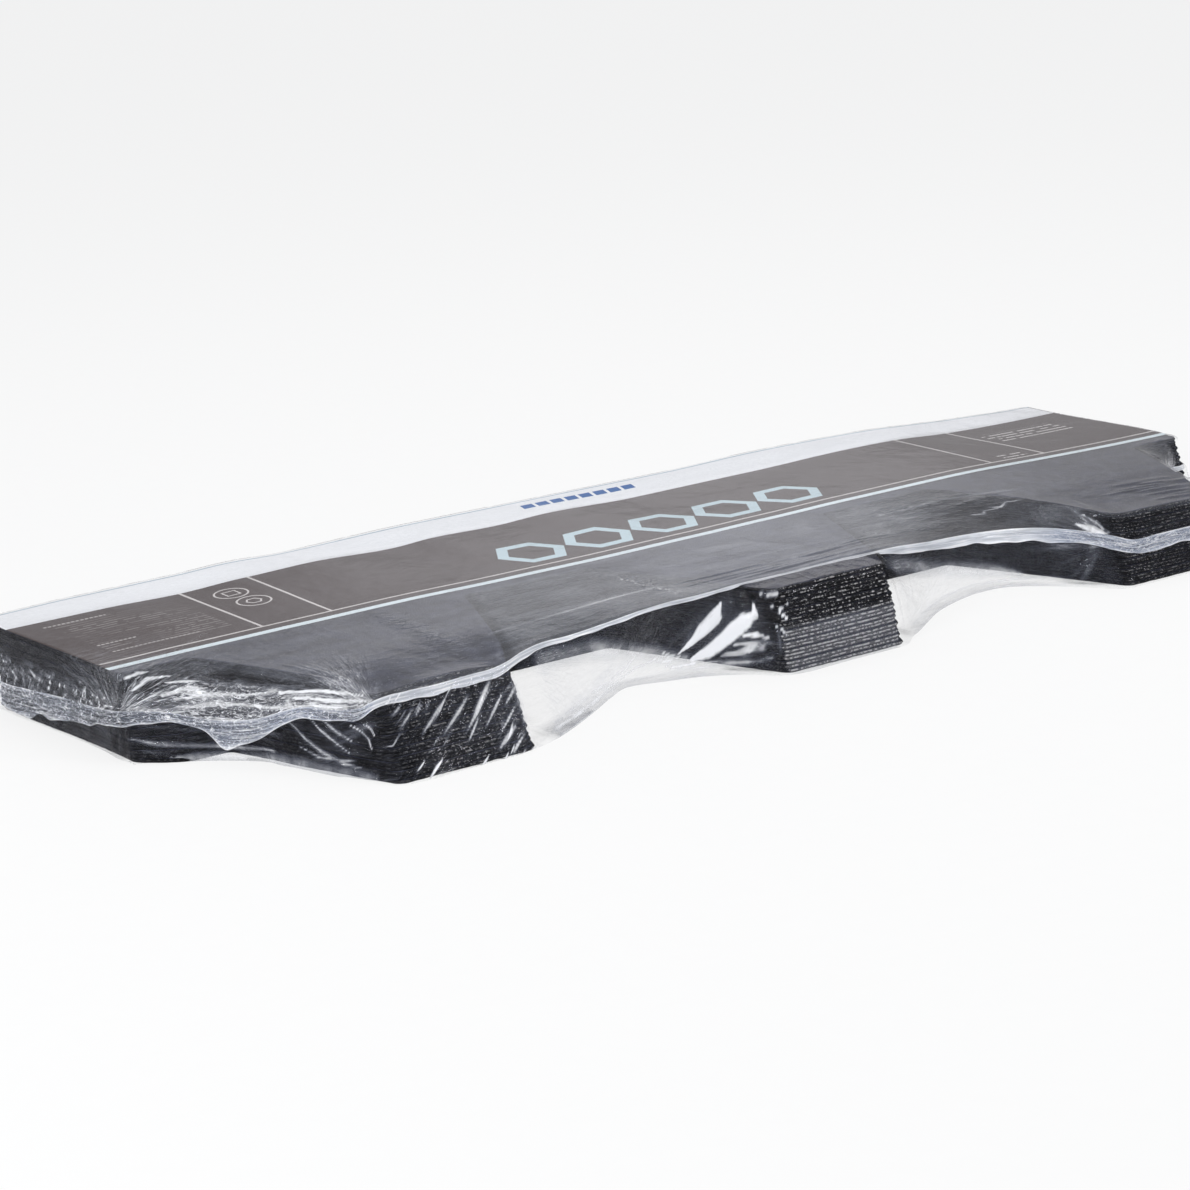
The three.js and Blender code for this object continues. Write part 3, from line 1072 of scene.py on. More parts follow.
@dataclass
class ShingleStack:
    """The shingles, one piece for each layer."""

    plan: ShinglePlan
    form: StackForm
    settling: Settling
    layers: int = 22
    pitch: float = 2.8
    floor: float = 0.4
    thickness: float = 2.7
    step: float = 3.0
    cell: float = 20.0
    radii: tuple[tuple[Corner, float], ...] = ((Corner.TIP, 6.0), (Corner.ROOT, 4.0), (Corner.END, 8.0))
    corner_inset: float = 3.0
    stagger: float = 0.5
    label_bed: float = 0.8
    pieces: list[Piece] = field(default_factory=list)

    def blank(self) -> tuple[bpy.types.Mesh, Points, Points]:
        """Cuts one shingle with rounded corners, 1 thick.

        Returns:
            The mesh in bundle millimetres, its vertices and the marks of those on its rim.
        """
        bm = bmesh.new()
        corners = self.plan.corners()
        ring = [bm.verts.new((x, y, 0.0)) for x, y, _ in corners]
        bm.faces.new(ring)
        radius = dict(self.radii)
        for kind in Corner:
            picked = [v for v, (_, _, k) in zip(ring, corners) if k is kind and v.is_valid]
            bmesh.ops.bevel(
                bm, geom=picked, offset=radius[kind], offset_type="OFFSET", affect="VERTICES",
                segments=5, profile=0.5, material=-1,
            )
        for edge in list(bm.edges):
            cuts = int(edge.calc_length() / self.step)
            if cuts:
                bmesh.ops.subdivide_edges(bm, edges=[edge], cuts=cuts)
        for axis, reach in ((0, self.plan.length), (1, self.plan.depth)):
            for place in np.arange(self.cell, reach - 1, self.cell):
                point, normal = Vector((0, 0, 0)), Vector((0, 0, 0))
                point[axis], normal[axis] = place + 0.37, 1.0
                geometry = [*bm.verts, *bm.edges, *bm.faces]
                bmesh.ops.bisect_plane(bm, geom=geometry, dist=1e-4, plane_co=point, plane_no=normal)
        raised = bmesh.ops.extrude_face_region(bm, geom=list(bm.faces))
        tops = [v for v in raised["geom"] if isinstance(v, bmesh.types.BMVert)]
        bmesh.ops.translate(bm, verts=tops, vec=(0, 0, 1.0))
        posts = [e for e in bm.edges if abs(e.verts[0].co.z - e.verts[1].co.z) > 0.5]
        bmesh.ops.subdivide_edges(bm, edges=posts, cuts=1, use_grid_fill=True)
        bmesh.ops.recalc_face_normals(bm, faces=bm.faces)
        for face in bm.faces:
            face.material_index = 1 if abs(face.normal.z) < 0.5 else 0
            face.smooth = face.material_index == 1
        bm.verts.ensure_lookup_table()
        rim = np.array([any(f.material_index == 1 for f in v.link_faces) for v in bm.verts])
        places = np.array([tuple(v.co) for v in bm.verts])
        mesh = mesh_of(bm, "shingle_blank")
        rise = mesh.attributes.new("rise", "FLOAT", "POINT")
        rise.data.foreach_set("value", places[:, 2].astype(np.float32))
        return mesh, places, rim

    def build(self) -> None:
        """Lays the layers, each with its own ragged rim."""
        blank, places, rim = self.blank()
        noise = ValueNoise(11)
        tips = self.plan.tip_corners()
        near = np.min(np.hypot(places[:, None, 0] - tips[:, 0], places[:, None, 1] - tips[:, 1]), axis=1)
        level = places.copy()
        level[:, 2] = 0.0
        level[:, :2] += self.form.lean_at(level[:, 2]) + self.form.splay_at(level)
        _, outward = self.form.outline_at(level)
        blank.attributes.new("front", "FLOAT", "POINT")
        middle_tab = smooth(places[:, 0], 300, 420) * smooth(places[:, 0], 700, 580)
        shown = (0.34 + 0.66 * middle_tab) * (1 - 0.9 * bell(places[:, 0] - 113, 13))
        bare = 0.08 + shown * smooth(-outward[:, 1], 0.8, 0.96) * smooth(places[:, 1], 60, 20)
        for layer in range(self.layers):
            node = f"shingle_{layer + 1:02d}"
            share = layer / (self.layers - 1)
            shift = self.form.foot * (1 - share) + self.form.head * share
            shift = shift + self.stagger * (self.plan.place_of(node) - shift)
            moved = places.copy()
            probe = places * (1, 1, 0.6) + (0, 0, layer * 5.3)
            ragged = 0.25 * noise.at(probe, 2.3) + 0.4 * noise.at(probe, (34, 34, 2.0))
            ragged += 0.4 - 0.9 * np.abs(places[:, 2] - 0.5) * 2
            ragged -= self.corner_inset * share**0.6 * bell(near, 20)
            moved[:, :2] += (ragged * rim)[:, None] * outward + shift
            uneven = 0.12 * noise.at(probe + 50, 5.0) * rim
            moved[:, 2] = self.floor + layer * self.pitch + places[:, 2] * self.thickness + uneven
            moved[:, :2] += self.form.splay_at(moved)
            moved[:, 2] -= self.label_bed * share**2 * smooth(places[:, 1], 178, 188)
            mesh = blank.copy()
            # The lower layers of the middle tab get a front mark above 1.1: denser specks and a painted sheen on the
            # cut edge.
            specks_and_sheen = bare * (1 + 0.8 * middle_tab * smooth(layer, 12, 10))
            mesh.attributes["front"].data.foreach_set("value", specks_and_sheen.astype(np.float32))
            mesh.name = f"shingle_layer_{layer + 1:02d}"
            settled = to_row(self.settling.settled(moved, 0.2))
            mesh.vertices.foreach_set("co", settled.astype(np.float32).ravel())
            piece = placed_in_scene(mesh.name, mesh)
            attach(piece, "root")
            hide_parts(node)
            self.pieces.append(piece)
        bpy.data.meshes.remove(blank)

    def dress(self, effects: Effects) -> None:
        """Gives the faces granules and the rims a cut edge."""
        faces, edges = GranuleFinish().make(effects), CutEdgeFinish().make(effects)
        for piece in self.pieces:
            piece.data.materials.append(faces)
            piece.data.materials.append(edges)


@dataclass
class LabelSheet:
    """The printed sheet on the rear part of the top shingle."""

    settling: Settling
    length: float = 1000.0
    depth: float = 175.0
    height: float = 62.15
    columns: int = 250
    rows: int = 44

    def build(self, under: Piece) -> None:
        """Lays the sheet in its waves on the shingle `under` it.

        Args:
            under: not used.
        """
        corner = to_bundle(np.array(tuple(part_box("label_sheet")[0])))
        i, j = np.meshgrid(np.linspace(0, 1, self.columns + 1), np.linspace(0, 1, self.rows + 1), indexing="ij")
        places = np.stack((corner[0] + i * self.length, corner[1] + j * self.depth, np.full_like(i, self.height)), -1)
        places = self.settling.settled(places)
        self.piece = sheet_mesh(
            "label", self.columns, self.rows, places, i * self.length * MM, j * self.depth * MM
        )
        finish_sheet(self.piece)
        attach(self.piece, "root")
        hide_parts("label_sheet")

    def dress(self) -> None:
        """Prints the sheet."""
        self.piece.data.materials.append(LabelFinish().make())


@dataclass(frozen=True)
class WrapStation:
    """One place round the bundle.

    Args:
        seam: middle of the film's seam.
        foot: where the film meets the floor.
        fin: width of the weld.
        tilt: how far the weld hangs down, in degrees.
        milk: milkiness of the weld.
    """

    seam: Triple
    foot: Pair
    fin: float = 8.0
    tilt: float = 75.0
    milk: float = 0.85


STATIONS = tuple(WrapStation(*row) for row in (
    ((-3, 149, 30.1), (-1, 146), 11, 80, 0.14), ((18, 122, 32.9), (12, 129), 8, 84, 0.3),
    ((37, 99, 28.5), (34, 113), 9, 84, 0.3), ((46, 87, 23), (45, 104), 20, 86, 0.36),
    ((53, 78, 24.5), (53, 97), 18, 88, 0.38), ((61, 68, 28.5), (61, 89), 13, 88, 0.36),
    ((72, 52, 37), (72, 74), 9, 84, 0.5), ((80, 39, 41.9), (80, 54), 8, 82, 0.5),
    ((94, 20, 41), (90, 24), 9, 84, 0.35), ((104, 6, 43), (97, 6), 9, 85, 0.35),
    ((112, -3, 50), (105, -10), 7, 86, 0.8), ((121, -5, 51.7), (114, -27), 7, 86),
    ((135, -5, 51.3), (130, -32.5), 7.5, 86), ((155, -5, 51), (155, -31), 7.5, 86),
    ((180, -4.5, 51.5), (182, -30), 7.5, 86), ((203, -4.5, 52.2), (204, -29.5), 7.5, 84),
    ((216, -3, 54), (212, -28), 7, 80), ((231, 1, 57.6), (224, -25.5), 5.5, 75),
    ((250, 6, 59.6), (244, -18.5), 4.2, 70), ((275, 9, 59.4), (272, -3), 3.6, 66),
    ((306, 11, 61.1), (303, 17), 3.2, 62), ((340, 13.5, 63.3), (328, 34), 3.2, 60),
    ((368, 16, 64), (350, 44.5), 3.0, 56), ((393, 20.5, 62.6), (378, 36.5), 3.0, 44),
    ((418, 24, 62.0), (405, 27), 3.2, 28), ((438, 26, 62.3), (430, 9), 3.6, 12),
    ((457, 26, 62.4), (446, -10), 3.8, 5), ((475, 26, 62.4), (465, -16), 3.8, 3),
    ((494, 26.4, 62.4), (485, -15.5), 3.8, 3), ((520, 27, 62.4), (515, -14.5), 4.2, 3),
    ((543, 27, 62.4), (543, -14.5), 4.8, 3), ((560, 26, 62.0), (562, -13), 5.2, 8),
    ((574, 25.5, 61.2), (577, -1), 6, 25), ((590, 29, 58.9), (593, 9), 7, 40), ((610, 33, 55.9), (612, 22), 7.5, 50),
    ((630, 37, 53), (634, 36.5), 8, 55), ((660, 41, 50.1), (664, 49), 9, 60), ((698, 38, 47.8), (695, 55.5), 10, 60),
    ((728, 33, 44.8), (722, 51), 10, 65, 0.8), ((750, 25, 41), (745, 31), 11, 70, 0.7),
    ((766, 10, 38), (764, 6), 12, 78, 0.55), ((777, -6, 35.4), (780, -15), 13, 85, 0.55),
    ((795, -10, 30), (797, -16.5), 13, 86, 0.55), ((820, -10, 29.8), (820, -17), 13, 86, 0.55),
    ((858, -9.5, 29.6), (858, -17), 13, 86, 0.55), ((882, -9.5, 29.6), (882, -17), 12, 84, 0.45),
    ((897, 4, 29), (899, -8), 10, 78, 0.7), ((917, 50, 31), (918, 38), 9, 75), ((940, 92, 33), (940, 82), 9, 75),
    ((970, 130, 33), (972, 120), 7, 80), ((1003, 151, 33), (1008, 138), 4, 88), ((1006, 200, 32), (1010, 190), 4, 88),
    ((1006, 270, 30), (1010, 260), 4, 88), ((1004, 335, 29), (1008, 326), 5, 84),
    ((900, 336, 28.5), (900, 327), 8, 75), *(((x, 336, 28), (x, 327), 8, 75) for x in (700, 500, 300, 100)),
    ((-3, 336, 24), (3, 326), 8, 75), ((-6, 300, 16.5), (2, 300), 17, 80, 0.24),
    ((-6, 262, 18.5), (1, 266), 18, 80, 0.24), ((-6, 226, 22), (1, 232), 17, 80, 0.24),
    ((-5, 185, 25.5), (0, 180), 13, 80, 0.19),
))
FRONT_LEFT, FRONT_RIGHT, REAR_RIGHT, REAR_LEFT = 0, 50, 53, 59


@dataclass(frozen=True)
class CreaseRun:
    """A stretch of the lower web, between two stations, whose fine creases lie at one angle."""

    first: int
    last: int
    degrees: float
    amount: float
    slash: float = 0.0


CREASE_RUNS = tuple(CreaseRun(*row) for row in (
    (0, 10, -6, 0.06, 0.16), (10, 17, 46, 0.12, 0.9), (17, 22, 14, 0.08, 0.12), (22, 26, 36, 0.1), (26, 32, 0, 0.04),
    (32, 41, 18, 0.1, 0.1), (41, 46, 0, 0.05), (46, 50, -30, 0.12), (50, 53, 0, 0.12), (53, 59, 0, 0.1),
    (59, 64, -20, 0.12, 0.1),
))


@dataclass(frozen=True)
class Knot:
    """A place where the film is gathered, and its creases run out from it.

    Args:
        place: where the creases meet.
        facing: the film's normal there.
        towards: the middle direction of the creases.
        reach: how far they run.
        upper: how strong they are in the upper web.
        lower: how strong they are in the lower web.
        sector: cosine of the half angle they fill.
        rays: how closely they lie round the place.
        rings: how short they are.
    """

    place: Triple
    facing: Triple
    towards: Triple
    reach: float
    upper: float
    lower: float
    sector: float = 0.2
    rays: float = 11.0
    rings: float = 0.028

    def marks(self, places: Points, strength: float) -> Points:
        """Lays the knot's creases over a web.

        Args:
            places: bundle positions.
            strength: how strong the creases are.

        Returns:
            The turn about the knot, the distance from it and the strength at each place.
        """
        facing = np.array(Vector(self.facing).normalized())
        along = np.array(self.towards, float)
        along -= facing * (along @ facing)
        along /= np.linalg.norm(along)
        offset = places - np.array(self.place)
        far = np.linalg.norm(offset, axis=-1)
        turn = np.arctan2(offset @ np.cross(facing, along), offset @ along)
        amount = strength * bell(far, self.reach) * smooth(far, 1, 10) * smooth(
            np.cos(turn), self.sector, self.sector + 0.5,
        )
        return np.stack((turn * self.rays, far * self.rings, amount), -1)


KNOTS = tuple(Knot(*row) for row in (
    ((-3, 149, 31), (-0.8, -0.5, 0.3), (1, -1, 0.2), 62, 0.9, 0.12),
    ((-4, 151, 31), (-1, 0, 0.1), (0, 1, 0.35), 58, 0.6, 0.25, -0.1),
    ((114, -3, 53), (-0.6, -0.6, 0.6), (-1, 1.3, -0.2), 56, 0.85, 0.12),
    ((218, -2, 57), (0.2, -0.8, 0.5), (1, 0, -1), 46, 0.25, 0.45, 0.0),
    ((448, -2, 38), (-0.6, -0.75, 0.1), (-1, 0.7, -0.6), 24, 0.0, 0.3),
    ((562, 2, 58), (0.1, -0.9, 0.3), (1, 0.3, -0.7), 44, 0.08, 0.4),
    ((776, 0, 40), (-0.3, -0.8, 0.4), (-1, 0.9, 0.3), 42, 0.4, 0.2, 0.4),
    ((994, 152, 58), (0.1, -0.7, 0.6), (-0.8, -1, -0.2), 70, 0.16, 0.0),
))


def fan_marks(places: Points, lower: bool) -> Points:
    """The strongest knot's marks at each place of a web.

    Args:
        places: bundle positions.
        lower: whether the web is the lower one.

    Returns:
        Three numbers for each place, as Knot.marks gives them.
    """
    best = np.zeros((*places.shape[:-1], 3))
    for knot in KNOTS:
        marks = knot.marks(places, knot.lower if lower else knot.upper)
        best = np.where(marks[..., 2:] > best[..., 2:], marks, best)
    return best


def beside(places: Points, facing: Points, start: Points, end: Points) -> tuple[Points, Points, Points]:
    """Sets places against a line from `start` to `end`.

    Args:
        places: bundle positions.
        facing: the film's normal at each.
        start: one end of the line.
        end: its other end.

    Returns:
        The share along the line, the height over it along `facing`, and the distance beside it.
    """
    run = end - start
    share = np.clip(((places - start) @ run) / (run @ run), 0, 1)
    offset = places - start - share[..., None] * run
    above = np.sum(offset * facing, axis=-1)
    return share, above, np.linalg.norm(offset - above[..., None] * facing, axis=-1)


@dataclass(frozen=True)
class PaintedHighlight:
    """A painted highlight: a bright or milky patch painted along a line where the stretched film would gloss; the
    faint wide ones are painted sheen.

    Args:
        line: places along its middle.
        widths: its half width at each place.
        strength: how much of what is behind it hides.
        blur: how soft its border is, from 0 to 1.
    """

    line: tuple[Triple, ...]
    widths: tuple[float, ...]
    strength: float = 0.9
    blur: float = 0.25

    def over(self, places: Points, facing: Points) -> Points:
        """How strong the patch is at each place, measured in the plane that faces `facing`.

        Args:
            places: bundle positions.
            facing: the film's normal at each.

        Returns:
            The strength at each.
        """
        line = np.array(self.line, float)
        best = np.zeros(places.shape[:-1])
        for start, end, low, high in zip(line[:-1], line[1:], self.widths[:-1], self.widths[1:]):
            t, above, away = beside(places, facing, start, end)
            width = np.maximum(low * (1 - t) + high * t, 0.1)
            patch = smooth(away / width, 1 + self.blur, 1 - self.blur) * smooth(np.abs(above), 10, 7)
            best = np.maximum(best, patch)
        return best * self.strength


LOWER_PAINTED_HIGHLIGHTS = tuple(PaintedHighlight(*row) for row in (
    (
        ((419.3, 26.4, 50.9), (412, 25, 43), (403, 25, 36.6), (394.6, 26, 29), (384, 30, 20)),
        (1.4, 4.6, 4.4, 2.4, 0.7), 0.95, 0.4,
    ),
    (
        (
            (440, 12.2, 50.4), (438.5, 9, 43), (433.8, 15.2, 38.5), (425, 18.3, 32), (416.7, 20.9, 25.6),
            (407, 25, 18.5), (396, 30, 14)
        ),
        (1.0, 2.2, 4.6, 4.8, 4.4, 4.2, 1.6), 0.95, 0.4,
    ),
    (((421, 26.4, 50.9), (411, 25, 42), (400, 25, 34), (388, 28, 24)), (3, 8.5, 8, 3), 0.1, 0.95),
    (((438, 9, 44), (430, 17, 36), (418, 21, 27), (402, 27, 16)), (4, 8, 8, 4), 0.1, 0.95),
    (((430, 15, 29), (437, 7, 29), (443, 0, 27)), (0.8, 2.0, 0.5), 0.8, 0.5),
    (((372, 33, 24), (378, 33, 20), (386, 32, 18)), (0.5, 1.3, 0.5), 0.8, 0.5),
    (((364, 35, 21), (374, 34, 16), (380, 33, 16)), (0.4, 1.0, 0.4), 0.7, 0.5),
    (((376, 33, 12), (386, 32, 10), (398, 29, 11)), (0.5, 1.2, 0.5), 0.7, 0.5),
    (((416, 21, 15), (430, 12, 17), (441, 1, 19.6)), (1.0, 2.2, 1.0), 0.4),
    (((402, 27, 12), (420, 19, 9), (436, 7, 9.5), (444, -3, 12)), (0.6, 1.6, 1.6, 0.6), 0.35, 0.8),
    (((424, 16, 22), (436, 8, 22), (446, -2, 24)), (0.5, 1.8, 0.6), 0.45, 0.7),
    (((437, 10, 58.5), (445, 3, 58.2), (451, 0, 57.5)), (0.5, 1.2, 0.5), 0.8, 0.5),
    (((22, 122, 4), (34, 113, 3), (45, 104, 3), (53, 97, 3), (61, 89, 2)), (0.5, 3, 4.5, 4, 2), 0.5, 0.95),
    (
        ((53, 97, 3), (61, 89, 3), (72, 72, 3.5), (80, 52, 4), (90, 22, 4), (97, 4, 4), (105, -12, 3)),
        (2, 4, 4, 4, 4, 3.5, 1.5), 0.25, 0.95,
    ),
    (
        ((2, 140, 17), (14, 127, 14), (31, 109, 12), (45, 96, 12), (60, 84, 11), (72, 66, 10)),
        (0.5, 1.4, 1.8, 1.6, 2.0, 0.8), 0.32, 0.95,
    ),
    (
        ((76, 50, 34), (80.9, 39.8, 23), (85.8, 26.9, 15.5), (92.9, 10, 10), (99, -2, 8)), (0.4, 0.9, 1.3, 1.2, 0.4),
        0.42, 0.8,
    ),
    (((82, 35, 38), (86.7, 28.7, 30.5), (91.9, 18.9, 23.3), (96.1, 7.6, 17)), (0.3, 0.8, 0.9, 0.3), 0.5, 0.7),
    (((88, 27, 37), (93, 17, 30), (98, 7, 25)), (0.4, 1.3, 0.4), 0.45, 0.8),
    (((98, 11, 36), (102, 3, 33), (105.5, -2, 27), (106, -5, 20)), (0.3, 0.6, 0.7, 0.3), 0.6, 0.6),
    (((104, 1, 38), (107, -3, 34), (108, -5, 30)), (0.3, 0.7, 0.3), 0.7, 0.5),
    (((78, 45, 17), (84, 30, 12), (91, 13, 12), (97, 2, 13)), (0.3, 0.8, 0.8, 0.3), 0.4, 0.8),
    (((450.5, -3.3, 45.4), (453, -4.5, 43), (455.6, -5.9, 39.5)), (0.7, 1.1, 0.6), 0.85),
    (((446, 0, 50), (452, -3, 48), (458, -4.5, 50)), (0.5, 0.9, 0.5), 0.7),
    (((447, -3, 36), (451, -4, 33), (453, -6, 28)), (0.6, 1.0, 0.5), 0.6),
    (
        (
            (227, -3, 51), (247, 2, 50), (266, 6, 50), (295, 11, 47), (321, 18, 39), (350, 29, 29.5), (374, 33, 21),
            (390, 31, 16)
        ),
        (3, 6, 6, 6, 6, 5, 5, 3), 0.3, 0.95,
    ),
    (
        ((566, 21, 54), (590, 27, 47), (621, 35, 37.5), (653, 43, 29), (694, 50, 19), (726, 45, 11)),
        (3, 5, 5, 5, 5, 2), 0.28, 0.95,
    ),
    (
        ((216, -29.5, 1.2), (250, -14, 7.6), (306, 18, 8.2), (337, 30, 19), (346.6, 29.4, 28)),
        (0.5, 0.9, 0.9, 0.9, 0.4), 0.6,
    ),
    (
        ((226.7, -29.4, 4.3), (276, 0, 8), (328, 30, 10.4), (357, 36.6, 16.7), (370.5, 33.7, 19.8)),
        (0.4, 0.8, 0.9, 0.9, 0.4), 0.5,
    ),
    (((221, -28, 8), (262, -8, 12), (318, 24, 17), (344, 31, 25)), (0.4, 0.7, 0.8, 0.4), 0.35),
))
UPPER_PAINTED_HIGHLIGHTS = tuple(PaintedHighlight(*row) for row in (
    (((5.2, 146, 58), (14, 146, 59), (21.8, 144.4, 59)), (0.6, 1.2, 0.5), 0.9),
    (((7.8, 141, 50), (19.4, 140.6, 55.6), (33, 135.8, 56)), (0.6, 1.6, 0.5), 0.9),
    (((22, 126.8, 46), (39.4, 120.4, 49.4), (47, 110.5, 50)), (0.8, 1.8, 0.6), 0.9),
    (((28, 132.7, 52.7), (38, 127, 53), (47.3, 120, 53)), (0.5, 1.2, 0.5), 0.8),
    (((77, 62.6, 50.7), (94.7, 33.7, 54.8), (109, 5.9, 54.5)), (1.0, 1.3, 0.5), 0.85),
    (((80, 49, 49.7), (97, 21.6, 50), (110.3, -0.3, 52)), (0.8, 1.4, 0.6), 0.85),
    (((80, 41.3, 46), (98, 18, 46.5), (109, 1, 49.5)), (0.6, 1.1, 0.5), 0.7),
    (((776, 0, 40), (769, 9, 45), (762, 20, 49)), (0.6, 2.6, 0.6), 0.8, 0.8),
    (((776, 0, 40), (765, 8, 42), (752, 18, 45)), (0.5, 1.6, 0.5), 0.55, 0.9),
    (((777, 0, 42), (773, 10, 50), (769, 20, 55)), (0.4, 1.2, 0.4), 0.45, 0.9),
    (((234, 43.6, 62), (306, 49.8, 63), (390, 58, 63)), (1.5, 1.5, 1.5), 0.14),
    (((641, 111, 62), (705, 113, 61), (762, 95, 61)), (1.8, 1.8, 1.8), 0.14),
    (((702, 74, 57.6), (712, 69, 58), (716, 75, 58.4), (728, 70, 59.5)), (0.7, 1.1, 0.6, 0.4), 0.36, 0.8),
    (((724, 76, 59), (731, 71, 59.8), (739, 75, 60.4), (749, 69, 61.8)), (0.5, 1.2, 0.8, 0.4), 0.36, 0.8),
    (((700, 122, 63), (712, 117, 63), (716, 121, 63), (738, 106, 63.4)), (0.8, 1.2, 0.6, 0.4), 0.2, 0.8),
    (((640, 100, 62), (652, 92, 61.5), (668, 94, 61.5), (690, 86, 60)), (0.8, 1.4, 1.0, 0.4), 0.14, 0.8),
    (
        (
            (386, 106, 65.2), (381, 92, 65.6), (385, 84, 65.8), (381, 72, 66), (388, 60, 65.9), (386, 50, 65.6),
            (391, 43, 65.3)
        ),
        (0.4, 0.5, 0.5, 0.5, 0.6, 0.5, 0.3), 0.3, 0.6,
    ),
))


class WrapPath:
    """A smooth closed line through the stations, read by station number."""

    def __init__(self, values: Points) -> None:
        """Takes one row of numbers for each station."""
        self.values = np.asarray(values, float)
        steps = np.linalg.norm(np.diff(np.vstack((self.values, self.values[:1]))[:, :3], axis=0), axis=1)
        self.travel = np.concatenate(([0.0], np.cumsum(steps)))

    def at(self, place: Points) -> Points:
        """Reads the line by Catmull-Rom.

        Args:
            place: distances along the chords, wrapping round.

        Returns:
            One row of numbers for each distance.
        """
        count = len(self.values)
        place = np.mod(place, self.travel[-1])
        k = np.clip(np.searchsorted(self.travel, place, side="right") - 1, 0, count - 1)
        span = self.travel[k + 1] - self.travel[k]
        t = ((place - self.travel[k]) / span)[..., None]
        knots = [self.values[(k + offset) % count] for offset in (-1, 0, 1, 2)]
        lengths = np.diff(self.travel)
        before = lengths[(k - 1) % count][..., None]
        after = lengths[(k + 1) % count][..., None]
        here = span[..., None]
        start = ((knots[1] - knots[0]) / before * here + (knots[2] - knots[1])) / 2
        end = ((knots[2] - knots[1]) + (knots[3] - knots[2]) / after * here) / 2
        return (
            knots[1] * (2 * t**3 - 3 * t**2 + 1) + knots[2] * (3 * t**2 - 2 * t**3)
            + start * (t**3 - 2 * t**2 + t) + end * (t**3 - t**2)
        )

    def stretch(self, first: int, last: int, count: int) -> Points:
        """Distances from one station to another in `count` equal steps, forwards round the loop.

        Args:
            first: number of the station to start at.
            last: number of the one to end at.
            count: number of steps.

        Returns:
            The distances round the loop.
        """
        start, end = self.travel[first], self.travel[last]
        if end <= start:
            end += self.travel[-1]
        return np.linspace(start, end, count + 1)


@dataclass(frozen=True)
class Fold:
    """A ridge in the film, from one place to another, milky along its crest; the milk partly stands for a painted
    highlight.
    """

    start: Triple
    end: Triple
    width: float = 2.5
    height: float = 1.0
    milk: float = 0.0


def outward_normals(places: Points, closed: bool) -> Points:
    """Unit normals of a grid of points.

    Args:
        places: bundle positions on a grid.
        closed: whether the first axis goes all the way round.

    Returns:
        A normal for each.
    """
    if closed:
        ringed = np.concatenate((places[-2:-1], places, places[1:2]), axis=0)
        along = (ringed[2:] - ringed[:-2]) / 2
    else:
        along = np.gradient(places, axis=0)
    across = np.gradient(places, axis=1)
    normal = np.cross(along, across)
    return normal / np.maximum(np.linalg.norm(normal, axis=-1, keepdims=True), 1e-9)


def folded(places: Points, folds: list[Fold], closed: bool) -> tuple[Points, Points]:
    """Raises ridges on a grid of points.

    Args:
        places: bundle positions on the sheet's grid.
        folds: the ridges, each within 14 mm of the sheet.
        closed: whether the first axis goes all the way round.

    Returns:
        The moved positions, and how milky the ridges leave the film, milk that partly stands for painted highlights.
    """
    normal = outward_normals(places, closed)
    lift = np.zeros(places.shape[:2])
    milk = np.zeros(places.shape[:2])
    for fold in folds:
        start, end = np.array(fold.start, float), np.array(fold.end, float)
        reach = 3 * fold.width + 12
        low, high = np.minimum(start, end) - reach, np.maximum(start, end) + reach
        picked = np.all((places >= low) & (places <= high), axis=-1)
        if not picked.any():
            continue
        t, above, away = beside(places[picked], normal[picked], start, end)
        taper = np.sin(np.pi * np.clip(t, 0.02, 0.98)) ** 0.7 * smooth(np.abs(above), 14, 10)
        width = fold.width * (0.45 + 0.55 * taper)
        lift[picked] = np.maximum(lift[picked], fold.height * taper * bell(away, width))
        milk[picked] = np.maximum(milk[picked], fold.milk * taper * bell(away, 0.5 * width))
    return places + normal * lift[..., None], milk


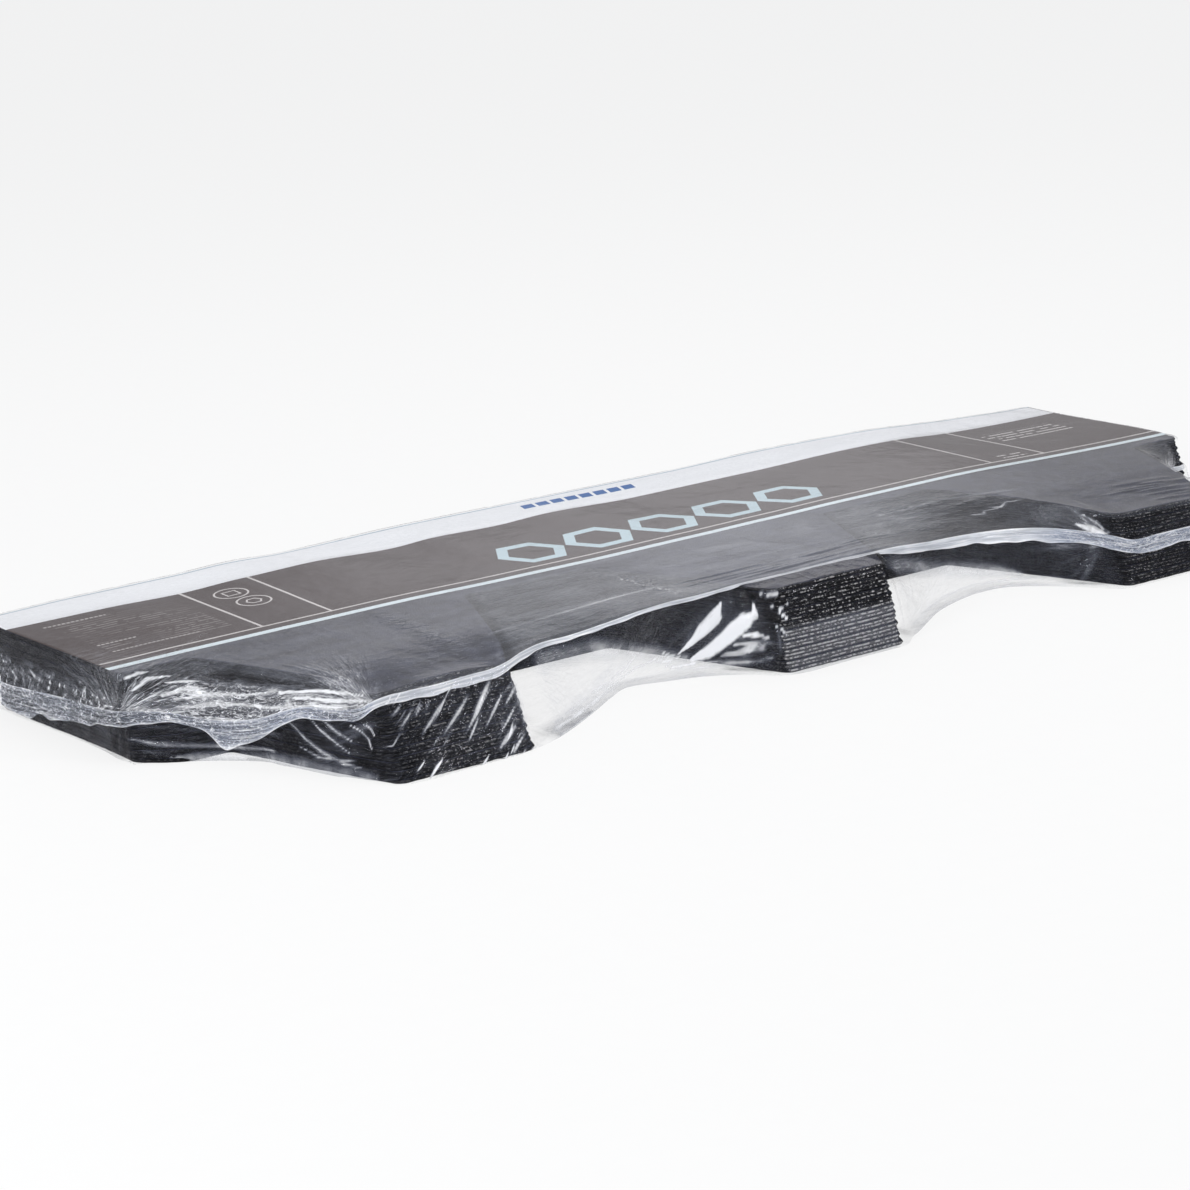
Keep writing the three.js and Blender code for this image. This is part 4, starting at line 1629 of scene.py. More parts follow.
@dataclass
class ShrinkWrap:
    """The film: an upper and a lower web, drawn over the stack and welded along a standing seam."""

    plan: ShinglePlan
    form: StackForm
    settling: Settling
    columns: int = 560
    rows: int = 160
    loop: int = 2048
    front_share: float = 0.78
    wall_rows: int = 36
    floor_rows: int = 5
    fin_rows: int = 12
    clearance: float = 0.5
    floor: float = 0.15
    frost: tuple[tuple[float, float, float, float], ...] = (
        (672, 120, 26, 9), (700, 112, 18, 6), (640, 70, 60, 6), (388, 60, 9, 40), (205, 90, 10, 60), (730, 96, 22, 5),
    )
    bare_flanks: Pair = (219, 554)
    drapes: tuple[tuple[Pair, Pair], ...] = (((226, 250), (430, 400)), ((570, 600), (760, 730)))
    seed: int = 5
    pieces: list[Piece] = field(default_factory=list)

    def __post_init__(self) -> None:
        """Draws the lines through the stations."""
        rows = np.array([(*s.seam, *s.foot, s.fin, math.radians(s.tilt), s.milk) for s in STATIONS])
        middle = self.settling.level_of(rows[:, :3])
        run = np.roll(middle, -1, axis=0) - np.roll(middle, 1, axis=0)
        out = np.stack((run[:, 1], -run[:, 0]), -1)
        out /= np.linalg.norm(out, axis=1, keepdims=True)
        half = rows[:, 5] / 2
        rows[:, :2] = middle[:, :2] - out * (half * np.cos(rows[:, 6]))[:, None]
        rows[:, 2] = middle[:, 2] + half * np.sin(rows[:, 6])
        self.path = WrapPath(rows)
        self.random = np.random.default_rng(self.seed)
        self.noise = ValueNoise(self.seed)

    # -- drawing the webs tight --

    def relaxed(self, places: Points, rounds: int, closed: bool, floor: float | None = None) -> Points:
        """Draws a web tight while the stack holds it out.

        Args:
            places: bundle positions on the web's grid; its borders stay.
            rounds: how many times each point moves to the middle of its neighbours.
            closed: whether the first axis goes all the way round.
            floor: height that no point may sink under.

        Returns:
            The new positions.
        """
        for _ in range(rounds):
            if closed:
                body = places[:-1]
                along = np.roll(body, 1, axis=0) + np.roll(body, -1, axis=0)
                middle = (along[:, 1:-1] + body[:, 2:] + body[:, :-2]) / 4
                places[:-1, 1:-1] = self.form.push_out(middle, self.clearance)
                places[-1] = places[0]
            else:
                along = places[2:, 1:-1] + places[:-2, 1:-1]
                middle = (along + places[1:-1, 2:] + places[1:-1, :-2]) / 4
                places[1:-1, 1:-1] = self.form.push_out(middle, self.clearance)
            if floor is not None:
                places[..., 2] = np.maximum(places[..., 2], floor)
        return places

    @staticmethod
    def doubled(places: Points) -> Points:
        """Halves a grid's spacing along both axes.

        Args:
            places: bundle positions on a grid.

        Returns:
            The finer grid.
        """
        for axis in (0, 1):
            count = places.shape[axis]
            low = np.take(places, range(count - 1), axis)
            high = np.take(places, range(1, count), axis)
            shape = list(places.shape)
            shape[axis] = 2 * count - 1
            out = np.zeros(shape)
            index: list[object] = [slice(None)] * 3
            index[axis] = slice(0, None, 2)
            out[tuple(index)] = places
            index[axis] = slice(1, None, 2)
            out[tuple(index)] = (low + high) / 2
            places = out
        return places

    def upper_border(self, columns: int, rows: int) -> tuple[Points, Points, Points, Points]:
        """The upper web's four sides on the seam: front, right, rear and left, closest at the left.

        Args:
            columns: steps along the front and the rear.
            rows: steps along the ends.

        Returns:
            The places on the front, right, rear and left side.
        """
        t = np.linspace(0, 1, columns + 1)
        closer = t * (0.72 + 0.28 * t)
        travel = self.path.travel
        front, rear = (
            self.path.at(travel[left] + (travel[right] - travel[left]) * closer)[:, :3]
            for left, right in ((FRONT_LEFT, FRONT_RIGHT), (REAR_LEFT, REAR_RIGHT))
        )
        right = self.path.at(self.path.stretch(FRONT_RIGHT, REAR_RIGHT, rows))[:, :3]
        left = self.path.at(self.path.stretch(REAR_LEFT, FRONT_LEFT, rows))[::-1, :3]
        return front, right, rear, left

    def regraded(self, places: Points) -> Points:
        """Spaces a web's rows closely near its front and rear sides, and widely over the flat top.

        Args:
            places: bundle positions on the web's grid.

        Returns:
            The positions, moved along their columns.
        """
        steps = np.linalg.norm(np.diff(places, axis=1), axis=2)
        out = places.copy()
        for column in range(len(places)):
            travel = np.concatenate(([0.0], np.cumsum(steps[column])))
            fine = np.linspace(0, travel[-1], 1200)
            spacing = 1.25 + 3.75 * smooth(fine, 60, 120) * smooth(travel[-1] - fine, 40, 90)
            count = np.concatenate(([0.0], np.cumsum(1 / spacing[1:])))
            target = np.interp(np.linspace(0, count[-1], places.shape[1]), count, fine)
            for axis in range(3):
                out[column, :, axis] = np.interp(target, travel, places[column, :, axis])
        return out

    def upper_places(self) -> Points:
        """The upper web, drawn tight from coarse to fine.

        Returns:
            Bundle positions on a grid.
        """
        places = None
        for scale, rounds in ((8, 260), (4, 160), (2, 90), (1, 45)):
            columns, rows = self.columns // scale, self.rows // scale
            front, right, rear, left = self.upper_border(columns, rows)
            if places is None:
                i, j = np.meshgrid(np.linspace(0, 1, columns + 1), np.linspace(0, 1, rows + 1), indexing="ij")
                i, j = i[..., None], j[..., None]
                places = front[:, None] * (1 - j) + rear[:, None] * j + left[None] * (1 - i) + right[None] * i
                places -= (1 - i) * (1 - j) * front[0] + i * (1 - j) * front[-1]
                places -= (1 - i) * j * rear[0] + i * j * rear[-1]
                places[..., 2] = FILM_TOP + 6
            else:
                places = self.doubled(places)
            places[:, 0], places[-1], places[:, -1], places[0] = front, right, rear, left
            places = self.relaxed(places, rounds, False)
        return self.relaxed(self.regraded(places), 4, False)

    def loop_travel(self, count: int) -> Points:
        """Distances round the seam in `count` steps, closer along the front than behind."""
        t = np.linspace(0, 1, count + 1)
        return np.interp(t, (0, self.front_share, 1), (0, self.path.travel[FRONT_RIGHT], self.path.travel[-1]))

    def loop_values(self, count: int) -> Points:
        """The seam's numbers all the way round, ending where they start."""
        values = self.path.at(self.loop_travel(count))
        values[-1] = values[0]
        return values

    def lower_places(self) -> Points:
        """The lower web's wall, from the foot up to the seam, and its strip on the floor.

        Returns:
            Bundle positions on a grid.
        """
        places = None
        for scale, rounds in ((4, 160), (2, 90), (1, 45)):
            values = self.loop_values(self.loop // scale)
            foot = np.concatenate((values[:, 3:5], np.full((len(values), 1), self.floor)), axis=1)
            if places is None:
                j = np.linspace(0, 1, self.wall_rows // scale + 1)[None, :, None]
                places = foot[:, None] * (1 - j) + values[:, None, :3] * j
            else:
                places = self.doubled(places)
            places[:, 0], places[:, -1] = foot, values[:, :3]
            places = self.relaxed(places, rounds, True, self.floor)
        foot = places[:, 0]
        inner = np.stack((np.clip(foot[:, 0], 60, 940), np.clip(foot[:, 1], 165, 300), foot[:, 2]), -1)
        inner += (foot - inner) * 0.12
        j = np.linspace(0, 1, self.floor_rows + 1)[None, :-1, None]
        strip = inner[:, None] * (1 - j) + foot[:, None] * j
        return np.concatenate((strip, places), axis=1)

    # -- folds --

    def star(
        self, centre: Triple, towards: Triple, spread: float, count: int, lengths: Pair, height: float,
        milk: float = 0.3,
    ) -> list[Fold]:
        """Folds that run out from one point.

        Args:
            centre: where they meet.
            towards: the middle direction.
            spread: half angle of the fan, in degrees.
            count: number of folds.
            lengths: shortest and longest fold.
            height: height of the highest.
            milk: milkiness of the milkiest.

        Returns:
            The folds.
        """
        made, draw = [], self.random.uniform
        axis = Vector(towards).normalized()
        side = axis.cross(Vector((0.5, -0.75, 0.3)).normalized()).normalized()
        for _ in range(count):
            angle = math.radians(draw(-spread, spread))
            tip = axis * math.cos(angle) + side * math.sin(angle)
            inner, outer = draw(0, 6), draw(*lengths)
            start = Vector(centre) + tip * inner
            end = Vector(centre) + tip * outer
            size = draw(0.3, 1)
            made.append(Fold(tuple(start), tuple(end), draw(1.2, 2.8), height * size, milk * size))
        return made

    def upper_folds(self) -> list[Fold]:
        """Ridges of the upper web.

        Returns:
            The ridges.
        """
        draw = self.random.uniform
        folds = []
        for row in (
            ((-3, 149, 32), (1, -0.9, 0.45), 42, 44, (18, 90), 2.2, 0.35),
            ((-3, 149, 32), (0, 1, 0.5), 50, 12, (15, 60), 1.2, 0.12),
            ((114, -3, 57), (-1, 1.25, -0.1), 34, 40, (20, 95), 2.2, 0.4),
            ((114, -3, 58), (0.6, 1, 0.1), 60, 18, (6, 34), 0.8, 0.2),
            ((216, 0, 58), (0.5, 1, 0.1), 60, 18, (8, 46), 0.8, 0.2),
            ((775, 2, 45), (-0.6, 1, 0.6), 60, 22, (12, 60), 1.2, 0.35),
        ):
            folds += self.star(*row)
        for count, xs, ys, runs, (start, end, level), heights, milk in (
            (16, (425, 600), (34, 64), (30, 70), (-3, 2, 62), (0.3, 0.9), 0.06),
            (10, (845, 915), (8, 60), (16, 40), (4, -4, 61), (0.8, 1.7), 0.0),
        ):
            for _ in range(count):
                x, y, run = draw(*xs), draw(*ys), draw(*runs)
                ends = (x - run, y + start, level), (x + run, y + end, level)
                folds.append(Fold(*ends, draw(2, 4), draw(*heights), milk))
        folds += self.star((990, 160, 60), (-0.5, -1, -0.3), 60, 10, (20, 110), 0.8, 0.04)
        return folds

    def slash(
        self, x: float, z: float, length: float, degrees: float, width: float, height: float, milk: float,
    ) -> Fold:
        """A slanting ridge on the front of a tab, round the place (x, z).

        Args:
            x: place along the bundle.
            z: height.
            length: length of the ridge.
            degrees: how far it slants.
            width: width of the ridge.
            height: how far it stands out.
            milk: how milky it is, which here stands for a painted highlight along the ridge.

        Returns:
            The ridge.
        """
        lean = math.radians(degrees)
        dx, dz = math.cos(lean) * length / 2, math.sin(lean) * length / 2
        depth = [-14 * (1 - (z + side * dz) / STACK_TOP) * (1.7 if x < 300 else 1.0) for side in (-1, 1)]
        return Fold((x - dx, depth[0], z - dz), (x + dx, depth[1], z + dz), width, height, milk)

    def lower_folds(self) -> list[Fold]:
        """Ridges of the lower web.

        Returns:
            The ridges.
        """
        folds, draw = [], self.random.uniform
        # Painted highlights: these slashes on the left tab's front are milky along their crests.
        for x, z, length, width in (
            (124, 48, 12, 2.2), (129, 40, 20, 2.0), (148, 36, 30, 2.2), (166, 34, 38, 2.6), (155, 40, 22, 1.6),
            (184, 34, 46, 1.6), (188, 40, 40, 3.0), (196, 32, 34, 1.8), (200, 12, 26, 3.0), (207, 6, 22, 2.0),
            (205, 24, 34, 1.6), (212, 40, 22, 1.6), (176, 22, 26, 1.4), (140, 44, 12, 1.4),
        ):
            folds.append(self.slash(x, z, length, draw(36, 48), width, 0.7 * width, 0.85))
        for _ in range(40):
            x, z = draw(120, 216), draw(4, 46)
            folds.append(self.slash(x, z, draw(8, 30), draw(30, 52), draw(0.9, 1.5), draw(0.3, 0.8), 0.08))
        for k in range(9):
            shift = draw(-5, 5)
            start, end = (222 + 3 * k, -27 + 2 * k, 2 + 1.5 * k), (385 + shift, 38 + shift, 8 + 4 * k)
            folds.append(Fold(start, end, 2.4, draw(0.4, 1.2), 0.12))
        folds += self.star((216, -4, 54), (0.25, -0.15, -1), 28, 12, (12, 56), 1.2, 0.35)
        for start, end, width, height in (
            ((433, 22, 54), (384, 36, 22), 7.0, 3.4), ((447, 6, 50), (404, 26, 14), 8.0, 3.8),
            ((444, 4, 40), (418, 18, 20), 5.0, 2.0),
            ((446, -6, 26), (420, 18, 8), 4.0, 1.4), ((400, 26, 50), (372, 38, 30), 5.0, 1.6),
        ):
            folds.append(Fold(start, end, width, height, 0.1))
        folds += self.star((448, -6, 36), (-0.3, -0.2, -1), 80, 22, (6, 30), 1.4, 0.3)
        folds += self.star((562, 0, 58), (0.7, 0.25, -1), 42, 18, (16, 70), 1.3, 0.2)
        folds += self.star((772, 0, 36), (-1, 0.8, -0.4), 50, 22, (12, 80), 1.6, 0.25)
        for _ in range(34):
            t, z = draw(0.05, 0.95), draw(4, 34)
            x, y = 4 + 98 * t, 140 - 138 * t
            run = draw(10, 30)
            start, end = (x - run * 0.6, y + run * 0.78, z + 1), (x + run * 0.6, y - run * 0.78, z - 3)
            folds.append(Fold(start, end, draw(1.2, 3.0), draw(0.4, 1.6), 0.12))
        folds += self.star((-3, 149, 26), (0.1, 0.3, -1), 55, 12, (8, 30), 1.0, 0.15)
        folds += self.star((112, -6, 44), (-0.8, 0.9, -0.6), 40, 16, (10, 55), 1.3, 0.3)
        return folds

    # -- pieces --

    def crumpled(self, places: Points, amount: Points, scale: float, closed: bool) -> Points:
        """Pushes a web in and out with sharp-crested noise where `amount` says, in millimetres."""
        lift = self.noise.ridged(places, scale) - 0.35 + 0.5 * (self.noise.ridged(places + 31.0, scale * 0.5) - 0.35)
        return places + outward_normals(places, closed) * (lift * amount)[..., None]

    @staticmethod
    def measured(places: Points) -> Points:
        """Distance of each point along its column, in metres."""
        steps = np.linalg.norm(np.diff(places, axis=1), axis=2)
        return np.concatenate((np.zeros((len(places), 1)), np.cumsum(steps, axis=1)), axis=1) * MM

    def build_upper(self) -> None:
        """Makes the upper web."""
        places = self.upper_places()
        x, y, z = places[..., 0], places[..., 1], places[..., 2]
        flat, _ = self.form.outline_at(places)
        over_gap = smooth(flat, 1.0, 6.0) * smooth(y, 330, 300)
        sheet = over_gap * smooth(x, 16, 44) * smooth(x, 112, 88) * smooth(z, 56, 47)
        walls = smooth(z, 60.5, 57.0) * (1 - over_gap) * smooth(x, 1000, 985)
        rows, columns = np.arange(self.rows + 1), np.arange(self.columns + 1)
        ease = smooth(rows, 0, 4)[None, :] * smooth(rows[::-1], 0, 5)[None, :]
        ease = ease * smooth(columns, 0, 5)[:, None] * smooth(columns[::-1], 0, 5)[:, None]
        moved, milk = folded(places, self.upper_folds(), False)
        moved = self.crumpled(moved, 2.6 * sheet, 13.0, False)
        moved = self.crumpled(moved, 0.4 * walls + 0.1, 9.0, False)
        moved[..., 2] += 0.45 * (1 + self.noise.at(places, (130, 50, 80))) * smooth(z, 57, 61)
        along = np.linalg.norm(np.diff(places[:, 0], axis=0), axis=1)
        along = np.concatenate(([0.0], np.cumsum(along)))[:, None] * MM + np.zeros_like(x)
        across = self.measured(places)
        turned = np.stack(((x - y) * 0.707, (x + y) * 0.707, z), -1)
        clouds = self.noise.ridged(turned, (40, 12, 4.5)) ** 1.4
        bare = smooth(y, 166, 156) * smooth(z, 56, 60) * (1 - over_gap * smooth(x, 640, 720))
        # Painted sheen: the bare tops' haze grows round the middle tab and fades to the right.
        bare = bare * (0.065 - 0.025 * smooth(x, 600, 760) + 0.09 * bell(x - 500, 150))
        # The crinkled sheet's milky filaments are partly milky crinkling and partly painted highlights.
        haze = 0.012 + bare + 0.05 * over_gap * smooth(x, 120, 220) + sheet * (0.05 + 0.7 * clouds)
        gathered = smooth(x, 12, 3) * smooth(z, 50, 36)
        haze = haze + 0.9 * gathered * self.noise.ridged(places, (6, 6, 3.5)) ** 4
        frost = sum(bell(np.hypot((x - fx) / length, (y - fy) / depth), 1) for fx, fy, length, depth in self.frost)
        crumple = 0.03 + 0.97 * sheet + walls * 0.05 + 0.35 * gathered + 0.06 * over_gap * smooth(x, 120, 220)
        crumple = np.clip(crumple * smooth(x, 1001, 990) + 0.3 * frost * smooth(z, 55, 60), 0, 1)
        places = places + (moved - places) * ease[..., None]
        settled = self.settling.settled(places)
        facing = outward_normals(settled, False)
        # Painted highlights go into the milk, and so into the film's haze.
        for highlight in UPPER_PAINTED_HIGHLIGHTS:
            milk = np.maximum(milk, highlight.over(settled, facing))
        piece = sheet_mesh("upper_web", self.columns, self.rows, settled, along, across)
        bright = 1 - 0.9 * np.maximum(
            smooth(x, *RIGHT_TAB) * smooth(y, *TAB_FRONT), smooth(x, *RIGHT_END),
        ) * smooth(z, 60.5, 57)
        paint(piece, "haze", np.clip(haze * bright + milk, 0, 0.95))
        paint(piece, "crumple", crumple)
        # Painted highlights: streaks over the crinkled sheet.
        paint(piece, "slash", 0.25 * sheet)
        ends = np.maximum(0.7 * smooth(x, 14, 4), 0.9 * smooth(x, *RIGHT_TAB) * smooth(y, *TAB_FRONT))
        paint(piece, "shine", 1 - np.maximum(ends, 0.95 * smooth(x, *RIGHT_END)) * smooth(z, 61.5, 60))
        paint(piece, "fan", fan_marks(places, False))
        finish_sheet(piece)
        self.upper = piece
        self.pieces.append(piece)

    def crease_grain(self, travel: Points, height: Points) -> tuple[Points, Points, Points, Points]:
        """Turns the lower web's own coordinates so that the first runs along its fine creases.

        Args:
            travel: distance round the loop, in millimetres.
            height: distance up from the foot, in metres.

        Returns:
            Both turned coordinates in metres, and how much the web is creased and slashed.
        """
        angle, middle, amount, slash = (np.zeros_like(travel) for _ in range(4))
        for run in CREASE_RUNS:
            first, last = self.path.travel[run.first], self.path.travel[min(run.last, len(STATIONS))]
            inside = (travel >= first) & (travel <= last)
            angle[inside], middle[inside] = math.radians(run.degrees), (first + last) / 2
            amount[inside], slash[inside] = run.amount, run.slash
        along = (travel - middle) * MM
        turned = along * np.cos(angle) + height * np.sin(angle), height * np.cos(angle) - along * np.sin(angle)
        return *turned, amount, slash

    def build_lower(self) -> None:
        """Makes the lower web, closed under the stack."""
        places = self.lower_places()
        rows = places.shape[1] - 1
        x, y, z = places[..., 0], places[..., 1], places[..., 2]
        flat, _ = self.form.outline_at(places)
        over_gap = smooth(flat, 2.5, 9.0) * smooth(y, 300, 250)
        level = np.arange(rows + 1)
        ease = (smooth(level, self.floor_rows, self.floor_rows + 4) * smooth(rows - level, 0, 4))[None, :]
        moved, milk = folded(places, self.lower_folds(), True)
        moved = self.crumpled(moved, 0.5 * (1 - over_gap) + 0.4 * over_gap, 10.0, True)
        moved[-1] = moved[0]
        travel = self.loop_travel(self.loop)[:, None] + np.zeros_like(x)
        height = self.measured(places)
        height = height - height[:, self.floor_rows : self.floor_rows + 1]
        along, across, crumple, slash = self.crease_grain(travel, height)
        hem = height / MM
        drape = sum(over_gap * smooth(x, *near) * smooth(x, *far) for near, far in self.drapes)
        hems = 0.5 * bell(hem - 0.8, 0.9) + 0.3 * bell(hem - 8 - 3 * self.noise.at(places, (60, 60, 300)), 0.8)
        # Painted sheen: haze over the lower half of the middle tab's front lightens it.
        front = smooth(x, 446, 456) * smooth(x, 570, 556) * smooth(y, 60, 30)
        # Painted shade: with the lower film's dark veil, this haze greys the floor seen through the film between the
        # tabs.
        gap_shade = over_gap * smooth(x, 130, 226)
        haze = 0.003 + 0.03 * gap_shade + 0.1 * front * smooth(z, 37, 31) + drape * hems
        behind = [smooth(x, c - 3, c + 2) * smooth(x, c + 32, c + 18) * smooth(y, 34, 18) for c in self.bare_flanks]
        behind = np.maximum(*behind)
        dull = np.maximum(over_gap * smooth(z, 18, 6), behind)
        places = places + (moved - places) * (ease + np.zeros_like(x))[..., None]
        places[..., 2] = np.maximum(places[..., 2], self.floor)
        settled = self.settling.settled(places)
        facing = outward_normals(settled, True)
        # Painted highlights go into the milk, and so into the film's haze.
        for highlight in LOWER_PAINTED_HIGHLIGHTS:
            milk = np.maximum(milk, highlight.over(settled, facing))
        piece = sheet_mesh("lower_web", self.loop, rows, settled, along, across)
        paint(piece, "haze", np.clip((haze + milk) * (1 - 0.8 * behind), 0, 0.95))
        paint(piece, "crumple", crumple * (1 - behind))
        # Painted highlights: white slashes on the left tab's front.
        edged = smooth(x, 219, 207) * np.maximum(smooth(x, 114, 130), smooth(z, 20, 32))
        paint(piece, "slash", slash * (1 - over_gap) * edged)
        ends = 0.85 * smooth(x, 94, 108) * smooth(x, 134, 122) * smooth(z, 42, 30)
        ends = np.maximum(ends, 0.6 * smooth(x, 112, 100) * smooth(y, 340, 320))
        ends = np.maximum(ends, 0.45 * smooth(x, *RIGHT_TAB) * smooth(y, *TAB_FRONT))
        paint(piece, "shine", 1 - np.maximum(0.88 * dull, ends))
        fans = fan_marks(places, True)
        fans[..., 2] *= 1 - behind
        paint(piece, "fan", fans)
        finish_sheet(piece, weld=True)
        self.close_floor(piece)
        self.lower = piece
        self.pieces.append(piece)

    def close_floor(self, piece: Piece) -> None:
        """Fills the lower web's hole under the stack.

        Args:
            piece: the lower web.
        """
        bm = bmesh.new()
        bm.from_mesh(piece.data)
        border = [e for e in bm.edges if e.is_boundary and max(v.co.z for v in e.verts) < 0.001]
        made = bmesh.ops.edgeloop_fill(bm, edges=border)
        for face in made["faces"]:
            if face.normal.z > 0:
                face.normal_flip()
        bm.to_mesh(piece.data)
        bm.free()

    def build_fin(self) -> None:
        """Makes the welded fin that stands out along the seam."""
        values = self.loop_values(self.loop)
        base = values[:, :3]
        run = np.roll(base[:-1], -1, axis=0) - np.roll(base[:-1], 1, axis=0)
        run = np.concatenate((run, run[:1]))
        out = np.stack((run[:, 1], -run[:, 0], np.zeros(len(run))), -1)
        out /= np.linalg.norm(out, axis=1, keepdims=True)
        j = np.linspace(0, 1, self.fin_rows + 1)[None, :]
        width = values[:, 5:6] * (1 + 0.18 * self.noise.at(base * (1, 1, 0), 13.0)[:, None])
        tilt = values[:, 6:7]
        places = base[:, None] + (width * j)[..., None] * (out[:, None] * np.cos(tilt)[..., None])
        places[..., 2] -= width * j * np.sin(tilt)
        wave = self.noise.at(places * (1, 1, 0.4), 16.0) + 0.3 * self.noise.at(places * (1, 1, 0.4) + 9, 6.0)
        places += out[:, None] * (wave * (0.2 + 1.0 * j) * np.minimum(width / 8, 2.5))[..., None]
        places = self.form.push_out(places, self.clearance + 0.4)
        places[-1] = places[0]
        settled = self.settling.settled(places)
        travel = self.loop_travel(self.loop)[:, None] * MM + 0 * j
        piece = sheet_mesh("seam_fin", self.loop, self.fin_rows, settled, travel, width * j * MM)
        paint(piece, "haze", values[:, 7:8] * (1 - 0.12 * bell(j - 0.5, 0.3)))
        uneven = smooth(self.noise.at(base, (14, 14, 14)), -0.5, 0.4)[:, None]
        paint(piece, "rim", np.maximum(bell(j, 0.08), bell(1 - j, 0.1)) * (0.25 + 0.75 * uneven))
        finish_sheet(piece, weld=True)
        self.fin = piece
        self.fin_area = float((values[:-1, 5] * np.linalg.norm(run[:-1], axis=1) / 2).sum()) * MM * MM
        self.pieces.append(piece)

    def declare(self) -> None:
        """Attaches the film's pieces to the root body, hides the imported film and keeps the pieces out of shadow and
        diffuse rays.
        """
        for piece in self.pieces:
            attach(piece, "root")
            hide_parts("shrink_film")
            piece.visible_shadow = False
            piece.visible_diffuse = False

    def dress(self, effects: Effects) -> None:
        """Gives the webs clear film and the fin its weld."""
        self.upper.data.materials.append(FilmFinish("upper_film", (70.0, 190.0), 0.03).make(effects))
        # The lower film's dark veil colour is painted shade where it lies over the gaps.
        self.lower.data.materials.append(
            FilmFinish("lower_film", (42.0, 330.0), 0.009, (0.36, 0.39, 0.5)).make(effects)
        )
        self.fin.data.materials.append(SeamFinish().make(effects))


# ---- Studio ----


@dataclass(frozen=True)
class Camera:
    """The view: a long lens, low over the left end of the tab side."""

    target: Triple = (500.0, 100.0, 30.0)
    azimuth: float = -34.49
    elevation: float = 15.42
    roll: float = -2.79
    distance: float = 2434.34
    offset: Pair = (113.42, 2.16)
    lens: float = 97.98

    def build(self) -> None:
        """Sets the scene's camera."""
        azimuth, elevation, roll = (math.radians(a) for a in (self.azimuth, self.elevation, self.roll))
        back = Vector(
            (math.sin(azimuth) * math.cos(elevation), -math.cos(azimuth) * math.cos(elevation), math.sin(elevation))
        )
        right = (-back).cross(Vector((0, 0, 1))).normalized()
        up = right.cross(-back)
        right, up = right * math.cos(roll) + up * math.sin(roll), up * math.cos(roll) - right * math.sin(roll)
        place = Vector(self.target) - right * self.offset[0] - up * self.offset[1] + back * self.distance
        data = bpy.data.cameras.new("camera")
        data.lens, data.sensor_width, data.clip_start, data.clip_end = self.lens, 36.0, 0.05, 100.0
        camera = placed_in_scene("camera", data)
        camera.matrix_world = Matrix.Translation(
            Vector(to_row(np.array(tuple(place))))
        ) @ Matrix((right, up, back)).transposed().to_4x4()
        bpy.context.scene.camera = camera


@dataclass(frozen=True)
class Softbox:
    """A soft area light aimed at a point over the bundle."""

    name: str
    place: Triple
    aim: Triple
    size: Pair
    power: float

    def build(self) -> None:
        """Hangs the light."""
        data = bpy.data.lights.new(self.name, "AREA")
        data.shape, data.size, data.size_y, data.energy = "RECTANGLE", self.size[0], self.size[1], self.power
        light = placed_in_scene(self.name, data)
        ray = Vector(self.aim) - Vector(self.place)
        light.matrix_world = Matrix.Translation(Vector(self.place)) @ ray.to_track_quat("-Z", "Y").to_matrix().to_4x4()


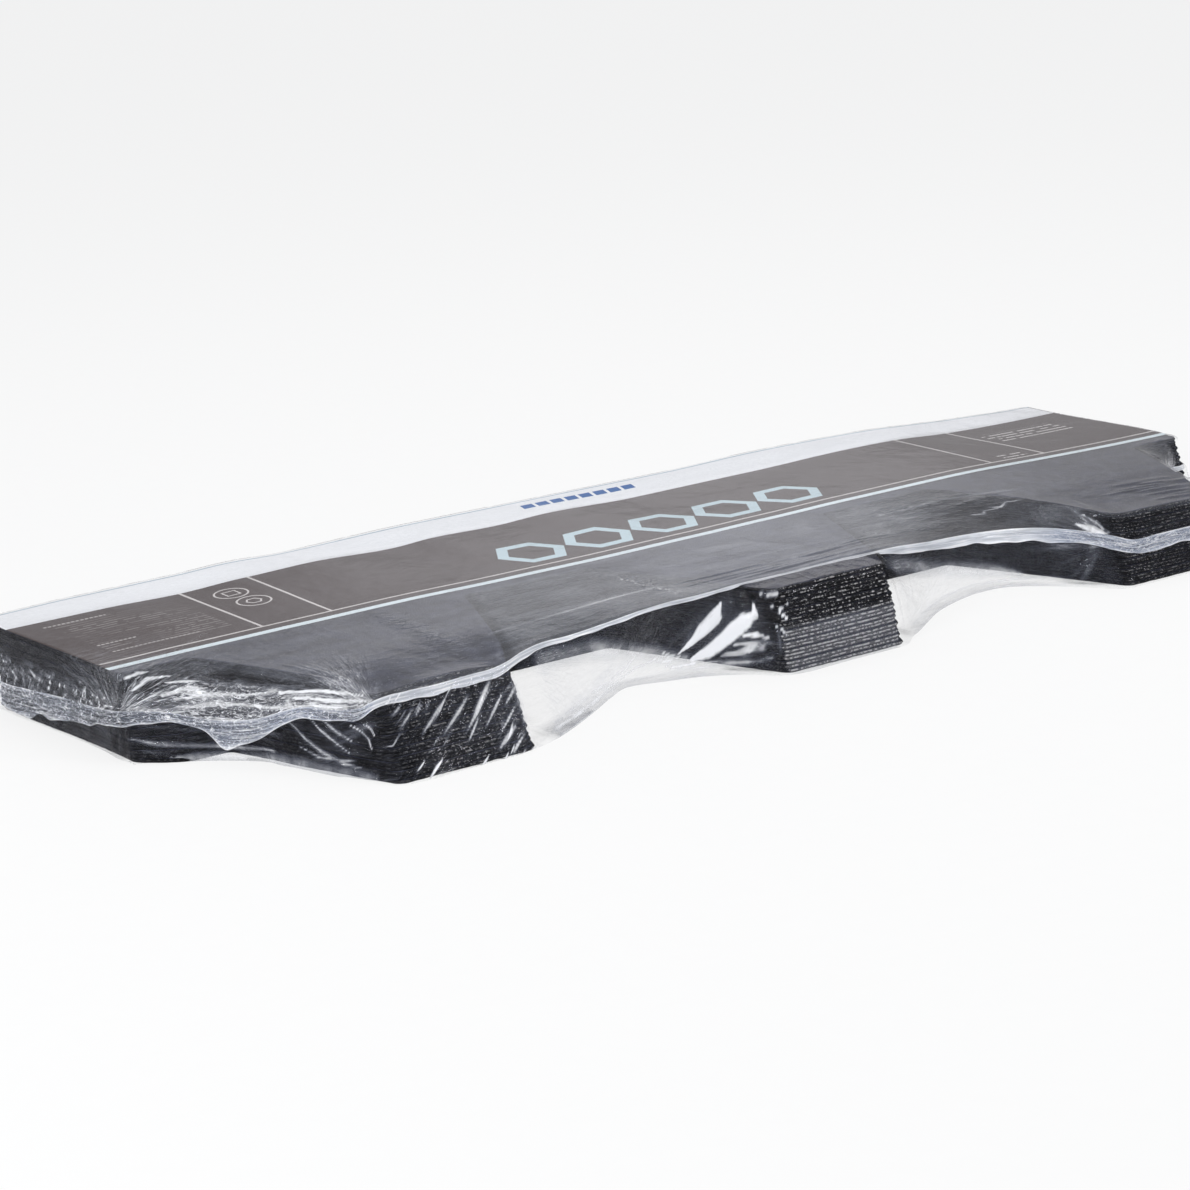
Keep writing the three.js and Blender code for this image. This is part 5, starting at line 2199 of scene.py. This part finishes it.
@dataclass(frozen=True)
class Studio:
    """Pale floor, white surroundings and soft lights."""

    lights: tuple[Softbox, ...] = (
        Softbox("overhead", (0.1, 0.3, 2.2), (0.0, 0.0, 0.0), (2.2, 1.6), 15.0),
        Softbox("left", (-2.3, -0.75, 0.85), (-0.1, 0.0, 0.05), (0.6, 0.9), 22.0),
        Softbox("right_front", (1.3, -1.9, 1.05), (0.0, 0.0, 0.05), (0.3, 0.9), 12.0),
    )
    floor_half: float = 30.0
    backdrop: Triple = (0.5675, 0.7565, 0.325)

    def build(self) -> None:
        """Sets floor, surroundings and lights."""
        bpy.context.scene.view_settings.view_transform = "Standard"
        bm = bmesh.new()
        bmesh.ops.create_grid(bm, x_segments=8, y_segments=8, size=self.floor_half)
        floor = placed_in_scene("studio_floor", mesh_of(bm, "studio_floor"))
        floor.data.materials.append(self.floor_finish())
        self.surroundings()
        for light in self.lights:
            light.build()

    @staticmethod
    def seen(g: Graph) -> Socket:
        """1 where the camera sees a surface, straight or by way of gloss or glass."""
        path = g.node("LightPath").outputs
        share = g.most(path["Is Camera Ray"], path["Is Glossy Ray"])
        return g.most(share, path["Is Transmission Ray"])

    def floor_finish(self) -> Material:
        """Pale matt floor that stays white to the camera and keeps shadows.

        Returns:
            The material.
        """
        material, g = new_material("studio_floor")
        grain = g.between(g.noise(g.objects(), 60.0, 2.0), 0.3, 0.7, 0.985, 1.0)
        colour = g.scaled((0.94, 0.94, 0.94), grain)
        matt = g.node("BsdfDiffuse", {"Color": colour})
        glow = g.node("Emission", {"Color": (1, 1, 1, 1), "Strength": 1.0})
        share = g.times(self.seen(g), 0.78)
        mixed = g.node("MixShader", {0: share, 1: matt.outputs[0], 2: glow.outputs[0]})
        g.surface(mixed)
        return material

    def surroundings(self) -> None:
        """White to the camera, softer as a light, and brightest behind the bundle to gloss."""
        world = bpy.context.scene.world or bpy.data.worlds.new("surroundings")
        bpy.context.scene.world = world
        world.use_nodes = True
        g = Graph(world.node_tree)
        way = g.node("TexCoord").outputs["Generated"]
        facing = g.node("VectorMath", {0: way, 1: self.backdrop}, operation="DOT_PRODUCT").outputs["Value"]
        wide = g.between(facing, -0.3, 0.9, 0.16, 0.42)
        glow = g.plus(wide, g.between(facing, 0.983, 0.9992, 0.0, 0.4))
        path = g.node("LightPath").outputs
        strength = g.most(g.times(path["Is Glossy Ray"], glow), path["Is Camera Ray"])
        strength = g.most(strength, path["Is Transmission Ray"])
        soft = g.node("Background", {"Color": (0.95, 0.97, 1.0, 1), "Strength": 0.5})
        white = g.node("Background", {"Color": (1, 1, 1, 1), "Strength": strength})
        mixed = g.node("MixShader", {0: self.seen(g), 1: soft.outputs[0], 2: white.outputs[0]})
        output = g.node("OutputWorld")
        g.tree.links.new(mixed.outputs[0], output.inputs[0])


def main() -> None:
    """Builds the bundle and the studio, and notes the sizes."""
    logging.basicConfig(level=logging.INFO, format="%(message)s")
    Camera().build()
    plan = ShinglePlan()
    form = StackForm(plan)
    settling = Settling(plan)
    effects = Effects()
    stack = ShingleStack(plan, form, settling)
    stack.build()
    stack.dress(effects)
    label = LabelSheet(settling)
    label.build(stack.pieces[-1])
    label.dress()
    wrap = ShrinkWrap(plan, form, settling)
    wrap.build_upper()
    wrap.build_lower()
    wrap.build_fin()
    wrap.declare()
    wrap.dress(effects)
    Studio().build()
    for piece in (*stack.pieces, label.piece, *wrap.pieces):
        triangles = sum(len(face.vertices) - 2 for face in piece.data.polygons)
        LOG.info("%s: %d triangles", piece.name, triangles)


if __name__ == "__main__":
    main()
